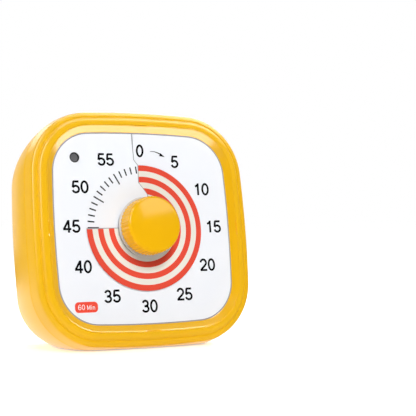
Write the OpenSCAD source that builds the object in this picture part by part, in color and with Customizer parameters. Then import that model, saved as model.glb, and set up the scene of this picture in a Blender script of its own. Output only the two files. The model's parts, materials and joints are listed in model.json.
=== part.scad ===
// Visual countdown timer. A kinked slit in the dial lets a striped disc wind out from under the
// face as the knob is turned: the disc and the face are matching shallow ramps, so the disc
// passes through the slit at every setting.
//
// Millimetres. World frame: +Z up, the front faces -Y, origin in the middle of the flat base.
// Every piece is drawn in the dial's own frame, x right, y up the dial, z out towards the user,
// with its origin in the middle of the dial, and is then leant back by timer_frame().

/* [Stance] */
// Angle that the dial leans back by
lean = 9; // [4:0.5:14]
// Height of the middle of the dial above the surface that the timer stands on
dial_height = 45.1; // [44.8:0.1:45.6]
// Distance that the dial stands in front of the middle of the base
dial_forward = 15.3; // [13:0.1:18]

/* [Dial] */
// Width and height of the dial opening
dial_w = 72.9; // [72:0.1:74]
// Corner radius of the dial opening
dial_corner_r = 17; // [15:0.5:19]
// Thickness of the dial sheet
sheet_t = 0.4; // [0.3:0.05:0.5]
// Rise of the dial's ramp over one full turn
ramp_rise = 1.2; // [1.1:0.05:1.3]
// Width of the slit that the disc comes out of
slit_w = 0.35; // [0.2:0.05:0.5]
// Radius of the circle that the numerals are centred on
numeral_ring_r = 29.6; // [29:0.1:30.5]
// Height of the numerals
numeral_h = 4.65; // [4:0.05:5]
// Outer radius of the minute marks
tick_outer_r = 23.4; // [23:0.1:23.7]

/* [Disc and knob] */
// Radius of the turning disc
disc_r = 23.95; // [23.2:0.05:24.2]
// Thickness of the disc
disc_t = 0.2; // [0.15:0.05:0.25]
// Minutes that the timer is set to
set_minutes = 45; // [45]
// Radius of the knob over its ridges
knob_r = 10.9; // [9.6:0.05:12]
// Height of the knob's rim above the dial
knob_top = 9.3; // [8:0.1:10.5]
// Number of grip ridges round the knob
knob_ridges = 48; // [40:2:72]
// Radius of the collar under the knob
collar_r = 11.5; // [11.2:0.1:13]

/* [Body] */
// How far the soft cover's widest line stands outside the dial opening
cover_reach = 8.56; // [8:0.02:9]
// Radius of the side's long curve from front to back
side_curve_r = 84; // [70:1:110]
// Depth behind the dial where the side turns into the back
side_end = 36; // [34:0.5:37]
// Radius of the turn from the side into the back
back_edge_r = 9; // [8:0.5:10]
// Distance that the sections sink for each millimetre of depth
sink = 0.043; // [0:0.001:0.06]
// Thickness of the soft cover
cover_t = 1.8; // [1.6:0.05:2]
// Thickness of the hard walls
wall_t = 1.8; // [1.6:0.05:2]

/* [Battery] */
// Radius of the AA cell
cell_r = 7.15; // [7.15]
// Length of the AA cell with its button
cell_len = 50.4; // [50.4]

/* [Gear train] */
// Teeth on the wheel that the knob's shaft carries
output_teeth = 60; // [60]
// Teeth on the idler's pinion
idler_pinion_teeth = 12; // [12]
// Teeth on the idler's wheel
idler_wheel_teeth = 40; // [40]
// Teeth on the motor's pinion
motor_teeth = 12; // [12]
// Module of the output wheel and the idler's pinion
module_a = 0.5; // [0.5]
// Module of the idler's wheel and the motor's pinion
module_b = 0.4; // [0.4]
// Radius of the knob's shaft
shaft_r = 2; // [1.8:0.1:2.2]

/* [Hidden] */

$fn = 64;
eps = 0.01;
big = 200;

yellow = "#f4b91c";
red = "#ee5340";
ink = "#16171a";

dial_half = dial_w / 2;
corner_at = dial_half - dial_corner_r;

// Depths, all measured from the dial, z being minus the depth
crease_depth = 6;
back_depth = 42;
panel_t = 2;
panel_back = back_depth - cover_t - 0.2;
// Thickness of the cover under the housing, where the floor cuts the round belly away
base_t = 1.9;
backing_top = -2;
backing_bottom = -3.8;
case_t = 1.6;
case_back = -17;
case_cover_t = 1.5;
board_front = -32;
board_t = 1.2;

// ---------------------------------------------------------------- frames and plain helpers

module timer_frame() {
    translate([0, -dial_forward, dial_height]) rotate([90 - lean, 0, 0]) children();
}

// Everything above a level plane at height h, cut in the world's frame
module above(h) {
    intersection() {
        children();
        translate([-big / 2, -big / 2, h]) cube(big);
    }
}

// Square with round corners, as exact arcs
module rounded_rect(w, h, r) {
    square([w - 2 * r, h], center = true);
    square([w, h - 2 * r], center = true);
    for (sx = [-1, 1], sy = [-1, 1]) translate([sx * (w / 2 - r), sy * (h / 2 - r)]) circle(r);
}

// Rounded plate from z0 up to z1
module slab(w, h, r, z0, z1) {
    translate([0, 0, z0]) linear_extrude(z1 - z0) rounded_rect(w, h, r);
}

// Plate that follows the dial opening's outline, set out by an offset
module dial_slab(offset_out, z0, z1) {
    w = dial_w + 2 * offset_out;
    slab(w, w, dial_corner_r + offset_out, z0, z1);
}

// Cylinder from z0 up to z1
module post(r, z0, z1) {
    translate([0, 0, z0]) cylinder(r = r, h = z1 - z0);
}

// Screw with its head's bearing face at z = 0 and its shank along -z: shank = [radius, length],
// head = [radius, height], slot = [length, width, depth], one slot for each turn
module screw(shank, head, slot, turns) {
    post(shank[0], -shank[1], eps);
    difference() {
        post(head[0], 0, head[1]);
        for (turn = turns) rotate(turn)
            translate([-slot[0] / 2, -slot[1] / 2, head[1] - slot[2]]) cube([slot[0], slot[1], slot[2] + 1]);
    }
}

module ring(r, hole_r, z0, z1) {
    difference() {
        post(r, z0, z1);
        post(hole_r, z0 - 1, z1 + 1);
    }
}

// Sweeps a profile of [offset from the dial's edge, z] round the dial's outline
module frame_sweep(profile) {
    section = [for (p = profile) [dial_corner_r + p[0], p[1]]];
    for (turn = [0 : 90 : 270]) rotate(turn) translate([corner_at, corner_at, 0]) {
        rotate_extrude(angle = 90) polygon(section);
        rotate([90, 0, 0]) linear_extrude(2 * corner_at) polygon(section);
    }
}

// ---------------------------------------------------------------- body sections

corner_steps = 10;
section_count = 4 * (corner_steps + 1);

// One closed section of the body: [offset from the dial's edge, z]
function body_section(p) =
    let (r = max(1, dial_corner_r + p[0]), shift = sink * min(0, p[1]))
    [for (c = [0 : 3], i = [0 : corner_steps])
        let (a = 90 * c + 90 * i / corner_steps, sx = (c == 0 || c == 3) ? 1 : -1, sy = c < 2 ? 1 : -1)
        [sx * (dial_half + p[0] - r) + r * cos(a), sy * (dial_half + p[0] - r) + r * sin(a) + shift, p[1]]];

function flat_list(lists) = [for (l = lists, v = l) v];
function backwards(list) = [for (i = [len(list) - 1 : -1 : 0]) list[i]];

// Closed band whose profile is a loop of [offset, z]
module body_band(loop) {
    n = len(loop);
    m = section_count;
    points = flat_list([for (p = loop) body_section(p)]);
    faces = [for (i = [0 : n - 1], j = [0 : m - 1])
        let (k = (i + 1) % n, l = (j + 1) % m)
        [i * m + j, i * m + l, k * m + l, k * m + j]];
    polyhedron(points, faces, convexity = 8);
}

// Solid body whose profile runs from the back to the front
module body_solid(profile) {
    n = len(profile);
    m = section_count;
    points = flat_list([for (p = profile) body_section(p)]);
    sides = [for (i = [0 : n - 2], j = [0 : m - 1])
        let (l = (j + 1) % m) [i * m + j, (i + 1) * m + j, (i + 1) * m + l, i * m + l]];
    caps = [[for (j = [0 : m - 1]) j], [for (j = [m - 1 : -1 : 0]) (n - 1) * m + j]];
    polyhedron(points, concat(sides, caps), convexity = 4);
}

// The side's two arcs. inset draws a skin inside the outer one
side_angle = asin((side_end - crease_depth) / side_curve_r);
side_end_offset = cover_reach - side_curve_r * (1 - cos(side_angle));
back_steps = 6;
side_steps = 8;

function side_arc(inset, count = side_steps) = [for (i = [0 : count])
    let (a = side_angle * i / count)
    [cover_reach - side_curve_r * (1 - cos(a)) - inset * cos(a),
     -(crease_depth + side_curve_r * sin(a) - inset * sin(a))]];

function back_arc(inset, count = back_steps) = [for (i = [1 : count])
    let (a = side_angle + (90 - side_angle) * i / count, r = back_edge_r - inset)
    [side_end_offset - back_edge_r * cos(side_angle) + r * cos(a),
     -(side_end - back_edge_r * sin(side_angle) + r * sin(a))]];

// Half width of the opening that the cover leaves in the back
back_opening = 30;
back_opening_offset = back_opening - dial_half;

// ---------------------------------------------------------------- the ramp of dial and disc

// The slit's middle line, straight between these kinks: [radius, x]
slit_line = [[5.2, 1.1], [12.6, 2.1], [17.2, -1.35], [23.9, -1.2], [25.9, -2.7], [60, -2.7]];
function slit_x(r) = lookup(r, slit_line);
// Angle of the slit, clockwise from the top
function slit_angle(r) = asin(slit_x(r) / r);

ramp_full_r = 24.4;
ramp_flat_r = 34;
function ease(t) = t <= 0 ? 0 : t >= 1 ? 1 : t * t * (3 - 2 * t);
function ramp_weight(r) = 1 - ease((r - ramp_full_r) / (ramp_flat_r - ramp_full_r));
// Height of the dial's top face at a clockwise angle and radius
function lift(angle, r) = ramp_rise * (angle / 360 - 0.5) * ramp_weight(r);
function clockwise(angle, r) = [r * sin(angle), r * cos(angle)];

// Distance from the middle to the dial plate's edge along a clockwise angle
plate_margin = 1.7;
function edge_distance(angle) =
    let (s = abs(sin(angle)), c = abs(cos(angle)), h = dial_half + plate_margin,
         r = dial_corner_r + plate_margin, k = h - r,
         straight = h / max(s, c), across = straight * min(s, c),
         b = k * (s + c))
    across <= k ? straight : b + sqrt(max(0, b * b - 2 * k * k + r * r));

// Sheet that is a grid of rows (round the slit) by columns (outwards), tops and bottoms
module sheet_grid(tops, thickness) {
    n = len(tops);
    m = len(tops[0]);
    all = flat_list(tops);
    points = concat(all, [for (p = all) [p[0], p[1], p[2] - thickness]]);
    q = n * m;
    upper = [for (i = [0 : n - 2], j = [0 : m - 2])
        [i * m + j, (i + 1) * m + j, (i + 1) * m + j + 1, i * m + j + 1]];
    lower = [for (f = upper) [for (k = [3 : -1 : 0]) f[k] + q]];
    loop = concat([for (j = [0 : m - 1]) j], [for (i = [1 : n - 1]) i * m + m - 1],
        [for (j = [m - 2 : -1 : 0]) (n - 1) * m + j], [for (i = [n - 2 : -1 : 1]) i * m]);
    rim = [for (i = [0 : len(loop) - 1])
        let (a = loop[i], b = loop[(i + 1) % len(loop)]) [a, b, b + q, a + q]];
    halves = [for (f = concat(upper, lower, rim)) each [[f[2], f[1], f[0]], [f[3], f[2], f[0]]]];
    polyhedron(points, halves, convexity = 6);
}

// ---------------------------------------------------------------- printed marks

// Outline of a pen stroke of width w along points
function direction(a, b) = (b - a) / max(eps / 10, norm(b - a));
function stroke_normal(pts, i) =
    let (before = direction(pts[max(0, i - 1)], pts[max(1, i)]),
         after = direction(pts[min(len(pts) - 2, i)], pts[min(len(pts) - 1, i + 1)]),
         mean = direction([0, 0], before + after), stretch = max(0.5, mean * after))
    [-mean[1], mean[0]] / stretch;
function stroke_outline(pts, w) = concat(
    [for (i = [0 : len(pts) - 1]) pts[i] + stroke_normal(pts, i) * w / 2],
    [for (i = [len(pts) - 1 : -1 : 0]) pts[i] - stroke_normal(pts, i) * w / 2]);
function arc_points(c, rx, ry, from, to, steps) = [for (i = [0 : steps])
    let (a = from + (to - from) * i / steps) [c[0] + rx * cos(a), c[1] + ry * sin(a)]];

// Strokes of the digits 1 to 5, one unit tall, centred on x = 0 and standing on y = 0
pen = 0.125;
function digit_strokes(d) =
    d == 1 ? [[[0.08, 0], [0.08, 1]], [[0.12, 0.94], [-0.03, 0.8], [-0.17, 0.72]]] :
    d == 2 ? [concat(arc_points([0, 0.68], 0.25, 0.26, 176, -30, 10),
                     [[0.06, 0.37], [-0.16, 0.19], [-0.25, 0.03]]),
              [[-0.32, 0.0625], [0.31, 0.0625]]] :
    d == 3 ? [concat(arc_points([-0.01, 0.715], 0.22, 0.225, 165, -85, 9), [[-0.07, 0.49]]),
              arc_points([-0.01, 0.285], 0.26, 0.23, 80, -165, 11)] :
    d == 4 ? [[[0.13, 0], [0.13, 1]], [[0.13, 0.97], [-0.29, 0.27]], [[-0.34, 0.28], [0.33, 0.28]]] :
    [[[-0.2, 0.9375], [0.27, 0.9375]], [[-0.17, 0.96], [-0.24, 0.46]],
     arc_points([0, 0.32], 0.265, 0.265, 152, -165, 12)];
digit_advance = 0.74;

module digit(d) {
    if (d == 0) difference() {
        polygon(arc_points([0, 0.5], 0.32, 0.5, 0, 345, 23));
        polygon(arc_points([0, 0.5], 0.195, 0.385, 0, 345, 23));
    }
    else for (s = digit_strokes(d)) polygon(stroke_outline(s, pen));
}

module number(n) {
    if (n < 10) digit(n);
    else {
        translate([-digit_advance / 2, 0]) digit(floor(n / 10));
        translate([digit_advance / 2, 0]) digit(n % 10);
    }
}

ink_sink = 0.3;
ink_proud = 0.06;

// ---------------------------------------------------------------- gears

function involute(a) = tan(a) - a * PI / 180;
// Half angle of a tooth at radius r, thinned for running clearance
function tooth_half(teeth, mod, r) =
    let (rp = teeth * mod / 2, rb = rp * cos(20), a = acos(min(1, rb / max(r, rb))))
    90 / teeth * 0.86 + (involute(20) - involute(a)) * 180 / PI;

// Closed outline of a spur gear with its first tooth turned by phase
module gear_outline(teeth, mod, phase = 0, addendum = 0.9) {
    rp = teeth * mod / 2;
    rb = rp * cos(20);
    tip = rp + addendum * mod;
    root = rp - 1.25 * mod;
    heights = [root, max(root + 0.15 * mod, min(rb, rp - 0.2 * mod)), rp, rp + 0.5 * addendum * mod, tip];
    polygon([for (t = [0 : teeth - 1])
        let (mid = phase + 360 * t / teeth)
        each concat(
            [for (r = heights) let (a = mid - tooth_half(teeth, mod, r)) [r * cos(a), r * sin(a)]],
            [for (i = [4 : -1 : 0])
                let (r = heights[i], a = mid + tooth_half(teeth, mod, r)) [r * cos(a), r * sin(a)]])]);
}

output_pitch_r = output_teeth * module_a / 2;
idler_distance = (output_teeth + idler_pinion_teeth) * module_a / 2;
motor_distance = (idler_wheel_teeth + motor_teeth) * module_b / 2;
idler_bearing = -25;
motor_bearing = 66;
idler_at = idler_distance * [cos(idler_bearing), sin(idler_bearing)];
motor_at = idler_at + motor_distance * [cos(motor_bearing), sin(motor_bearing)];
// A tooth of the driver points along the line of centres, and a gap of the driven faces it
idler_pinion_phase = idler_bearing + 180 + 180 / idler_pinion_teeth;
motor_phase = motor_bearing + 180 + 180 / motor_teeth;
pin_r = 0.8;
running_gap = 0.05;
motor_arbor_r = 0.75;
motor_front = case_back - case_cover_t;
motor_r = 7;
motor_h = 9;
motor_ear = [20, 6];
wheel_z = [-8.5, -6.7];
idler_pinion_z = [-9.2, -6];
idler_wheel_z = [-13.4, -12];
idler_foot_z = -15.5;
idler_boss_r = 2.2;
motor_pinion_z = [-14.2, -11.2];

// ---------------------------------------------------------------- outer pieces

// Front of the soft cover, outwards from the seam beside the bezel: [offset from the dial, z].
// A shoulder, a groove, a thin outer ring and the start of the side
cover_front = [[2.85, 0.75], [2.85, 1.5], [3.3, 1.66], [4.3, 1.58], [4.95, 1.3], [5.4, 0.8],
               [5.8, 0.2], [6.15, 0], [6.45, 0.14], [6.75, 0.36], [7.1, 0.44], [7.5, 0.34],
               [7.72, 0.05], [7.95, -1.2], [8.3, -3.4]];
// The same front from the inside, back towards the seam
cover_front_inside = [[cover_reach - cover_t, -3.4], [6.3, -1.2], [5.6, -0.75], [5.6, 0.75]];

module silicone_cover() color(yellow) {
    outside = concat(side_arc(0), back_arc(0));
    back_lip = [[back_opening_offset, -back_depth + 0.05], [back_opening_offset, -back_depth + cover_t]];
    inside = concat(side_arc(cover_t), back_arc(cover_t));
    above(0) timer_frame()
        body_band(concat(cover_front, outside, back_lip, backwards(inside), cover_front_inside));
    intersection() {
        above(0) timer_frame() body_solid(backwards(outside));
        translate([-big / 2, -big / 2, 0]) cube([big, big, base_t]);
    }
}

notch_len = 5;

// Hard ring round the dial: a sloping inner face, a crest, a flange that lies under the soft
// cover and a skirt that reaches back round the dial: [offset from the dial, z]
bezel_profile = [[0, 0.03], [0, 0.2], [1.15, 0.9], [2.3, 1.6], [2.5, 1.68], [2.72, 1.55], [2.72, 0.65],
                 [5.45, 0.65], [5.45, -1.1], [4.3, -1.1], [4.3, -5], [2.3, -5], [2.3, 0.03]];
notch_offset = 2.25;
notch_floor = 0.9;
lip_len = 8;
lip_from_middle = 12;
lip_size = [1.2, 0.8];
lip_offset = 1.2;
lip_bottom = backing_bottom - 0.05 - lip_size[1];

module front_bezel() color(yellow) timer_frame() {
    difference() {
        frame_sweep(bezel_profile);
        for (turn = [0 : 90 : 270]) rotate(turn)
            translate([dial_half + notch_offset, -notch_len / 2, notch_floor]) cube([1, notch_len, 1]);
    }
    // Snap lips that hold the backing plate
    for (turn = [0 : 90 : 270], side = [-1, 1]) rotate(turn)
        translate([dial_half + lip_offset, side * lip_from_middle - lip_len / 2, lip_bottom])
            cube([lip_size[0], lip_len, lip_size[1]]);
}

// Radii of the sheet's grid: the slit's kinks, the disc's reach and steps down the ramp's blend
sheet_radii = [5.2, 9, 12.6, 17.2, 20.5, 23.9, 25.9, 28.5, 31, ramp_flat_r];
sheet_rows = 72;

// Angle of row i, counted round from one lip of the slit to the other
function sheet_angle(r, i) =
    let (gap = 2 * asin(slit_w / 2 / r)) slit_angle(r) + gap / 2 + (360 - gap) * i / sheet_rows;

module dial_plate() color("white") timer_frame() {
    tops = [for (i = [0 : sheet_rows]) concat(
        [for (r = sheet_radii) let (a = sheet_angle(r, i)) [each clockwise(a, r), lift(a, r)]],
        let (a = sheet_angle(dial_half + plate_margin, i)) [[each clockwise(a, edge_distance(a)), 0]])];
    difference() {
        sheet_grid(tops, sheet_t);
        translate(indicator_at) post(indicator_hole_r, -2, 1);
    }
}

// Draws a printed mark at a clockwise angle and radius, sunk into the sheet below and tilted
// with it where the ramp blends into the flat rim
module on_dial(angle, r) {
    slope = atan((lift(angle, r + 1) - lift(angle, r - 1)) / 2);
    translate([each clockwise(angle, r), lift(angle, r)])
        rotate(slope, [cos(angle), -sin(angle), 0])
            translate([0, 0, -ink_sink]) linear_extrude(ink_sink + ink_proud) children();
}

module dial_numerals() color(ink) timer_frame() {
    for (i = [0 : 11]) on_dial(30 * i, numeral_ring_r)
        scale(numeral_h) translate([0, -0.5]) number(5 * i);
}

tick_w = 0.35;
short_tick_r = 20.7;
long_tick_r = 18.9;

module minute_marks() color("dimgray") timer_frame() {
    for (minute = [0 : 59])
        let (inner = minute % 5 == 0 ? long_tick_r : short_tick_r)
        on_dial(6 * minute, (inner + tick_outer_r) / 2) rotate(-6 * minute)
            square([tick_w, tick_outer_r - inner], center = true);
}

// Clockwise angle of the middle of the arrow, which points from 0 towards 5
arrow_angle = 15;

module start_arrow() color(ink) timer_frame() {
    on_dial(arrow_angle, numeral_ring_r) translate(-clockwise(arrow_angle, numeral_ring_r)) {
        polygon(stroke_outline([[4.5, 29.5], [6.2, 29.5], [7.8, 29], [9.2, 28.3]], 0.4));
        polygon([[10.7, 27.45], [8.65, 29.1], [8.9, 28.35], [8.1, 27.85]]);
    }
}

badge_at = [-25.6, -29.1];
badge_size = [9, 3.9];
badge_corner_r = 1.45;
module range_badge() color(red) timer_frame() {
    translate([each badge_at, -ink_sink]) linear_extrude(ink_sink + ink_proud)
        rounded_rect(badge_size[0], badge_size[1], badge_corner_r);
}

column_from_middle = [32, 12];
column_at = [for (sx = [-1, 1], sy = [-1, 1]) [column_from_middle[0] * sx, column_from_middle[1] * sy]];
column_r = 2.9;
column_front = -10;
screw_seat = -30;
thread_r = 1.1;

case_w = [-18.5, 28.5];
case_h = [-18.5, 18.5];
case_screw_at = [for (x = [case_w[0] + 3, case_w[1] - 3], y = [case_h[0] + 3, case_h[1] - 3]) [x, y]];
case_screw_r = 0.8;
bush_r = 3.5;

// Flat panel behind the disc, with a rim that presses the dial against the bezel
module backing_plate() color("whitesmoke") timer_frame() {
    difference() {
        union() {
            dial_slab(plate_margin, backing_bottom, backing_top);
            difference() {
                dial_slab(plate_margin, backing_top - eps, -sheet_t - 0.02);
                dial_slab(0.3, backing_top - 1, 1);
            }
            for (p = column_at) translate(p) post(column_r, column_front, backing_bottom + eps);
        }
        post(bush_r + 0.1, -6, 0);
        translate(indicator_at) post(light_pipe_r + 0.1, -6, 0);
        for (p = column_at) translate(p) post(thread_r, column_front - 1, backing_bottom - 1);
        for (p = case_screw_at) translate(p) post(case_screw_r, -6, backing_bottom + 1);
    }
}

// ---------------------------------------------------------------- indicator

indicator_at = [-26.8, 26.4];
indicator_hole_r = 1.95;
light_pipe_r = 1.5;
led_tip = -27;
led_r = 1.5;
led_collar_r = 1.9;
led_collar_t = 1;
led_bottom = board_front + 0.6;
led_lead_x = [-0.76, 0.76];
led_lead_r = 0.25;

lens_flange_r = 2.7;
lens_dish_r = 1.6;
lens_dish_depth = 0.9;

// Smoked lens with a dished face, held by its flange between the dial and the backing plate
module indicator_lens() color("#4a4a4c") timer_frame() translate(indicator_at) difference() {
    union() {
        post(indicator_hole_r - 0.05, backing_top, -0.05);
        post(lens_flange_r, backing_top, -sheet_t - 0.1);
    }
    post(lens_dish_r, -lens_dish_depth, 1);
}

module light_pipe() color("gainsboro") timer_frame() translate(indicator_at)
    post(light_pipe_r, led_tip + 0.4, backing_top);

module indicator_led() color("tomato") timer_frame() translate(indicator_at) {
    dome = led_tip - led_r;
    collar_top = led_bottom + led_collar_t;
    rotate_extrude() polygon(concat(
        [[0, led_bottom], [led_collar_r, led_bottom], [led_collar_r, collar_top], [led_r, collar_top],
         [led_r, dome]],
        [for (a = [15 : 15 : 90]) [led_r * cos(a), dome + led_r * sin(a)]]));
    for (x = led_lead_x) translate([x, 0, 0])
        post(led_lead_r, board_front - board_t - 0.6, led_bottom + 0.1);
}

// ---------------------------------------------------------------- rear housing

bay_x = 27.8;
bay_top = -9.6;
bay_bottom = -26.6;
bay_front = -23.2;
cell_at = [-18.1, -30.8];
contact_t = 0.35;
door_w = 54.6;
door_h = 16;
door_edge_r = 0.8;
door_pivot = [-25.6, -39.2];
door_top = door_pivot[0] - door_edge_r + door_h;
door_gap = 0.2;
// Gap under the door that its lower face needs when it is swung fully open
door_swing_gap = 0.5;
door_stub_r = 0.7;
door_stub_len = 0.9;
buzzer_at = [0, 18];
buzzer_r = 8;
buzzer_h = 4.5;
sound_hole_r = 0.9;
sound_ring_r = 3.6;
switch_at = [-19, 9];
switch_slot = [6.4, 2.6];
standoff_at = [[-26, 5], [11.5, 5], [11.5, 28], [-14, 28]];
board_screw_r = 0.9;
panel_front = -panel_back + panel_t;

module bay_block(x, z0, z1, grow = 0) {
    translate([-x, bay_bottom - grow, z0]) cube([2 * x, bay_top - bay_bottom + 2 * grow, z1 - z0]);
}

// Front edge of the housing's wall, under the cover's groove: [offset from the dial, z]
housing_lip_outside = [[6.1, -1.3], [6.45, -3.4]];
housing_lip_inside = [[4.6, -3.4], [4.4, -1.3]];
housing_skin = cover_t + 0.15;
// The back panel starts this far inside the dial's outline and laps over the wall's flange
panel_inset = 11;
panel_lap = 1;
housing_floor = base_t + 0.15;

module rear_housing() color("#3a3a3d") {
    outside = concat(side_arc(housing_skin), back_arc(housing_skin));
    inside = concat(side_arc(housing_skin + wall_t), back_arc(housing_skin + wall_t, 4));
    flange = [for (z = [-panel_back, panel_front]) [-panel_inset - panel_lap, z]];
    difference() {
        union() {
            above(housing_floor) timer_frame()
                body_band(concat(housing_lip_outside, outside, flange,
                                 backwards(inside), housing_lip_inside));
            timer_frame() {
                panel_w = 2 * (dial_half - panel_inset);
                slab(panel_w, panel_w, 9, -panel_back, panel_front);
                for (p = column_at) translate(p) post(column_r, panel_front - eps, column_front);
                for (p = standoff_at) translate(p) post(2, panel_front - eps, board_front - board_t);
                bay_block(bay_x + 1.2, panel_front - eps, bay_front + 1.2, 1.2);
            }
            // Floor of the housing, above the cover's thick base
            above(housing_floor) intersection() {
                timer_frame() body_solid(backwards(outside));
                translate([-big / 2, -big / 2, 0]) cube([big, big, housing_floor + wall_t]);
            }
        }
        timer_frame() {
            bay_block(bay_x, -panel_back - 1, bay_front);
            for (p = column_at) translate(p) {
                post(thread_r + 0.2, -panel_back - 1, 0);
                post(2.6, -panel_back - 1, screw_seat);
            }
            for (p = standoff_at) translate(p) post(board_screw_r, panel_front + 0.4, 0);
            door_opening();
            translate([each switch_at, -panel_back - 1]) linear_extrude(4) square(switch_slot, center = true);
            // Sound holes over the buzzer
            for (n = [0 : 6]) let (p = n == 0 ? [0, 0] : sound_ring_r * [cos(60 * n), sin(60 * n)])
                translate(buzzer_at + p) post(sound_hole_r, -panel_back - 1, panel_front + 1);
            // Slots that the contacts' solder tabs pass through
            for (side = [-1, 1]) translate([side * (bay_x - contact_t / 2), cell_at[0], bay_front + 0.5])
                cube([contact_t + 0.2, tab_w + 0.4, 3], center = true);
        }
    }
}

// Rebate for the door in the back panel, and the sockets for its stubs
module door_opening() {
    translate([-door_w / 2 - door_gap, door_pivot[0] - door_edge_r - door_swing_gap, -panel_back - 1])
        cube([door_w + 2 * door_gap, door_h + door_gap + door_swing_gap, panel_t + 2]);
    translate([0, door_pivot[0], door_pivot[1]]) rotate([0, 90, 0])
        cylinder(r = door_stub_r + 0.06, h = door_w + 2 * door_gap + 2 * door_stub_len, center = true);
}

housing_screw_len = 25;
housing_screw_head = [2.4, 1.6];
module housing_screws() color("silver") timer_frame()
    for (p = column_at) translate([each p, screw_seat]) rotate([180, 0, 0])
        screw([thread_r, housing_screw_len], housing_screw_head, [3, 0.6, 0.6], [0, 90]);

// ---------------------------------------------------------------- movement

module case_outline() {
    translate([(case_w[0] + case_w[1]) / 2, (case_h[0] + case_h[1]) / 2])
        rounded_rect(case_w[1] - case_w[0], case_h[1] - case_h[0], 3);
}

module movement_case() color("#d9d4c4") timer_frame() {
    wall = case_t - 0.1;
    difference() {
        translate([0, 0, case_back]) linear_extrude(backing_bottom - case_back) case_outline();
        translate([(case_w[0] + case_w[1]) / 2, 0, 0])
            slab(case_w[1] - case_w[0] - 2 * wall, case_h[1] - case_h[0] - 2 * wall, 1.6,
                 case_back - 1, backing_bottom - case_t);
        post(bush_r, case_back, 0);
        translate(idler_at) post(pin_r, case_back, backing_bottom - 0.6);
        for (p = case_screw_at) translate(p) post(case_screw_r + 0.1, case_back - 1, 0);
    }
    for (p = case_screw_at) translate(p)
        ring(2, case_screw_r + 0.1, case_back, backing_bottom - case_t + eps);
}

module movement_cover() color("#d9d4c4") timer_frame() difference() {
    translate([0, 0, motor_front]) linear_extrude(case_cover_t) case_outline();
    post(shaft_r + running_gap, motor_front - 1, case_back + 1);
    translate(idler_at) post(pin_r, motor_front + 0.5, case_back + 1);
    translate(motor_at) post(motor_arbor_r + 0.4, motor_front - 1, case_back + 1);
    for (p = case_screw_at) translate(p) post(case_screw_r + 0.1, motor_front - 1, case_back + 1);
}

case_screw_len = 15.6;
small_screw_slot = [4, 0.4, 0.5];
module movement_screws() color("silver") timer_frame()
    for (p = case_screw_at) translate([each p, motor_front]) rotate([180, 0, 0])
        screw([case_screw_r, case_screw_len], [1.6, 1], small_screw_slot, [0]);

module shaft_bush() color("goldenrod") timer_frame() {
    ring(bush_r, shaft_r + running_gap, -6.2, backing_top - 0.1);
}

module idler_pin() color("silver") timer_frame() translate(idler_at)
    post(pin_r, case_back - 0.9, backing_bottom - 0.7);

module idler_gear() color("ivory") timer_frame() translate(idler_at) difference() {
    union() {
        translate([0, 0, idler_pinion_z[0]]) linear_extrude(idler_pinion_z[1] - idler_pinion_z[0])
            gear_outline(idler_pinion_teeth, module_a, idler_pinion_phase);
        translate([0, 0, idler_wheel_z[0]]) linear_extrude(idler_wheel_z[1] - idler_wheel_z[0])
            gear_outline(idler_wheel_teeth, module_b, motor_bearing);
        post(idler_boss_r, idler_foot_z, idler_pinion_z[0] + eps);
    }
    post(pin_r + running_gap, -20, 0);
}

module drive_motor() color("silver") timer_frame() translate(motor_at) difference() {
    union() {
        post(motor_r, motor_front - motor_h, motor_front);
        slab(motor_ear[0], motor_ear[1], 2.9, motor_front - 0.8, motor_front);
        post(1.6, motor_front - motor_h - 0.8, motor_front - motor_h + eps);
    }
    post(motor_arbor_r + running_gap, motor_front - 3, 0);
}

module motor_pinion() color("goldenrod") timer_frame() translate(motor_at) {
    translate([0, 0, motor_pinion_z[0]]) linear_extrude(motor_pinion_z[1] - motor_pinion_z[0])
        gear_outline(motor_teeth, module_b, motor_phase);
    post(motor_arbor_r, motor_front - 2.8, motor_pinion_z[0] + eps);
}

wheel_hole_from_middle = 9;
wheel_hole_r = 2.6;
wheel_hole_turn = 5;
module output_wheel() color("ivory") timer_frame() difference() {
    translate([0, 0, wheel_z[0]]) linear_extrude(wheel_z[1] - wheel_z[0])
        gear_outline(output_teeth, module_a, idler_bearing);
    post(shaft_r + 0.02, -20, 0);
    for (turn = [0 : 60 : 300]) rotate(turn + wheel_hole_turn)
        translate([wheel_hole_from_middle, 0, 0]) post(wheel_hole_r, -20, 0);
}

// Cupped washer that lets the knob slip round the wheel when the timer is set by hand.
// Its outer rim bears on the wheel and its inner rim on the clutch collar
clutch_inner = [2.4, -9.75];
clutch_outer = [5.2, -8.75];
clutch_lift = [-0.2, 0.23];
clutch_collar_z = [-11.5, -9.77];
module clutch_spring() color("silver") timer_frame() rotate_extrude()
    polygon([clutch_outer + clutch_lift, clutch_outer, clutch_inner, clutch_inner + clutch_lift]);

module clutch_collar() color("goldenrod") timer_frame()
    ring(4, shaft_r, clutch_collar_z[0], clutch_collar_z[1]);

// Groove near the shaft's end and the clip that sits in it
clip_z = [-19.35, -18.85];
groove_r = 1.6;
module shaft_clip() color("dimgray") timer_frame() difference() {
    ring(3.4, groove_r + 0.02, clip_z[0], clip_z[1]);
    translate([0, -shaft_r, clip_z[0] - 1]) cube([5, 2 * shaft_r, 2]);
}

shaft_z = [-20, 6.4];
module knob_shaft() color("silver") timer_frame() difference() {
    union() {
        post(shaft_r, shaft_z[0], shaft_z[1]);
        post(3.1, wheel_z[1] + 0.02, -6.3);
    }
    ring(4, groove_r, clip_z[0] - 0.02, clip_z[1] + 0.02);
}

// ---------------------------------------------------------------- disc and knob

disc_hub_r = 4.5;
hub_z = [-0.95, 0.85];
// Angle left out of the disc, so that its two edges don't touch
disc_cut = 0.4;
disc_lead = 6 * set_minutes;
disc_radii = [disc_hub_r - 0.2, 11, 17.5, disc_r];
disc_rows = 72;
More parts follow.
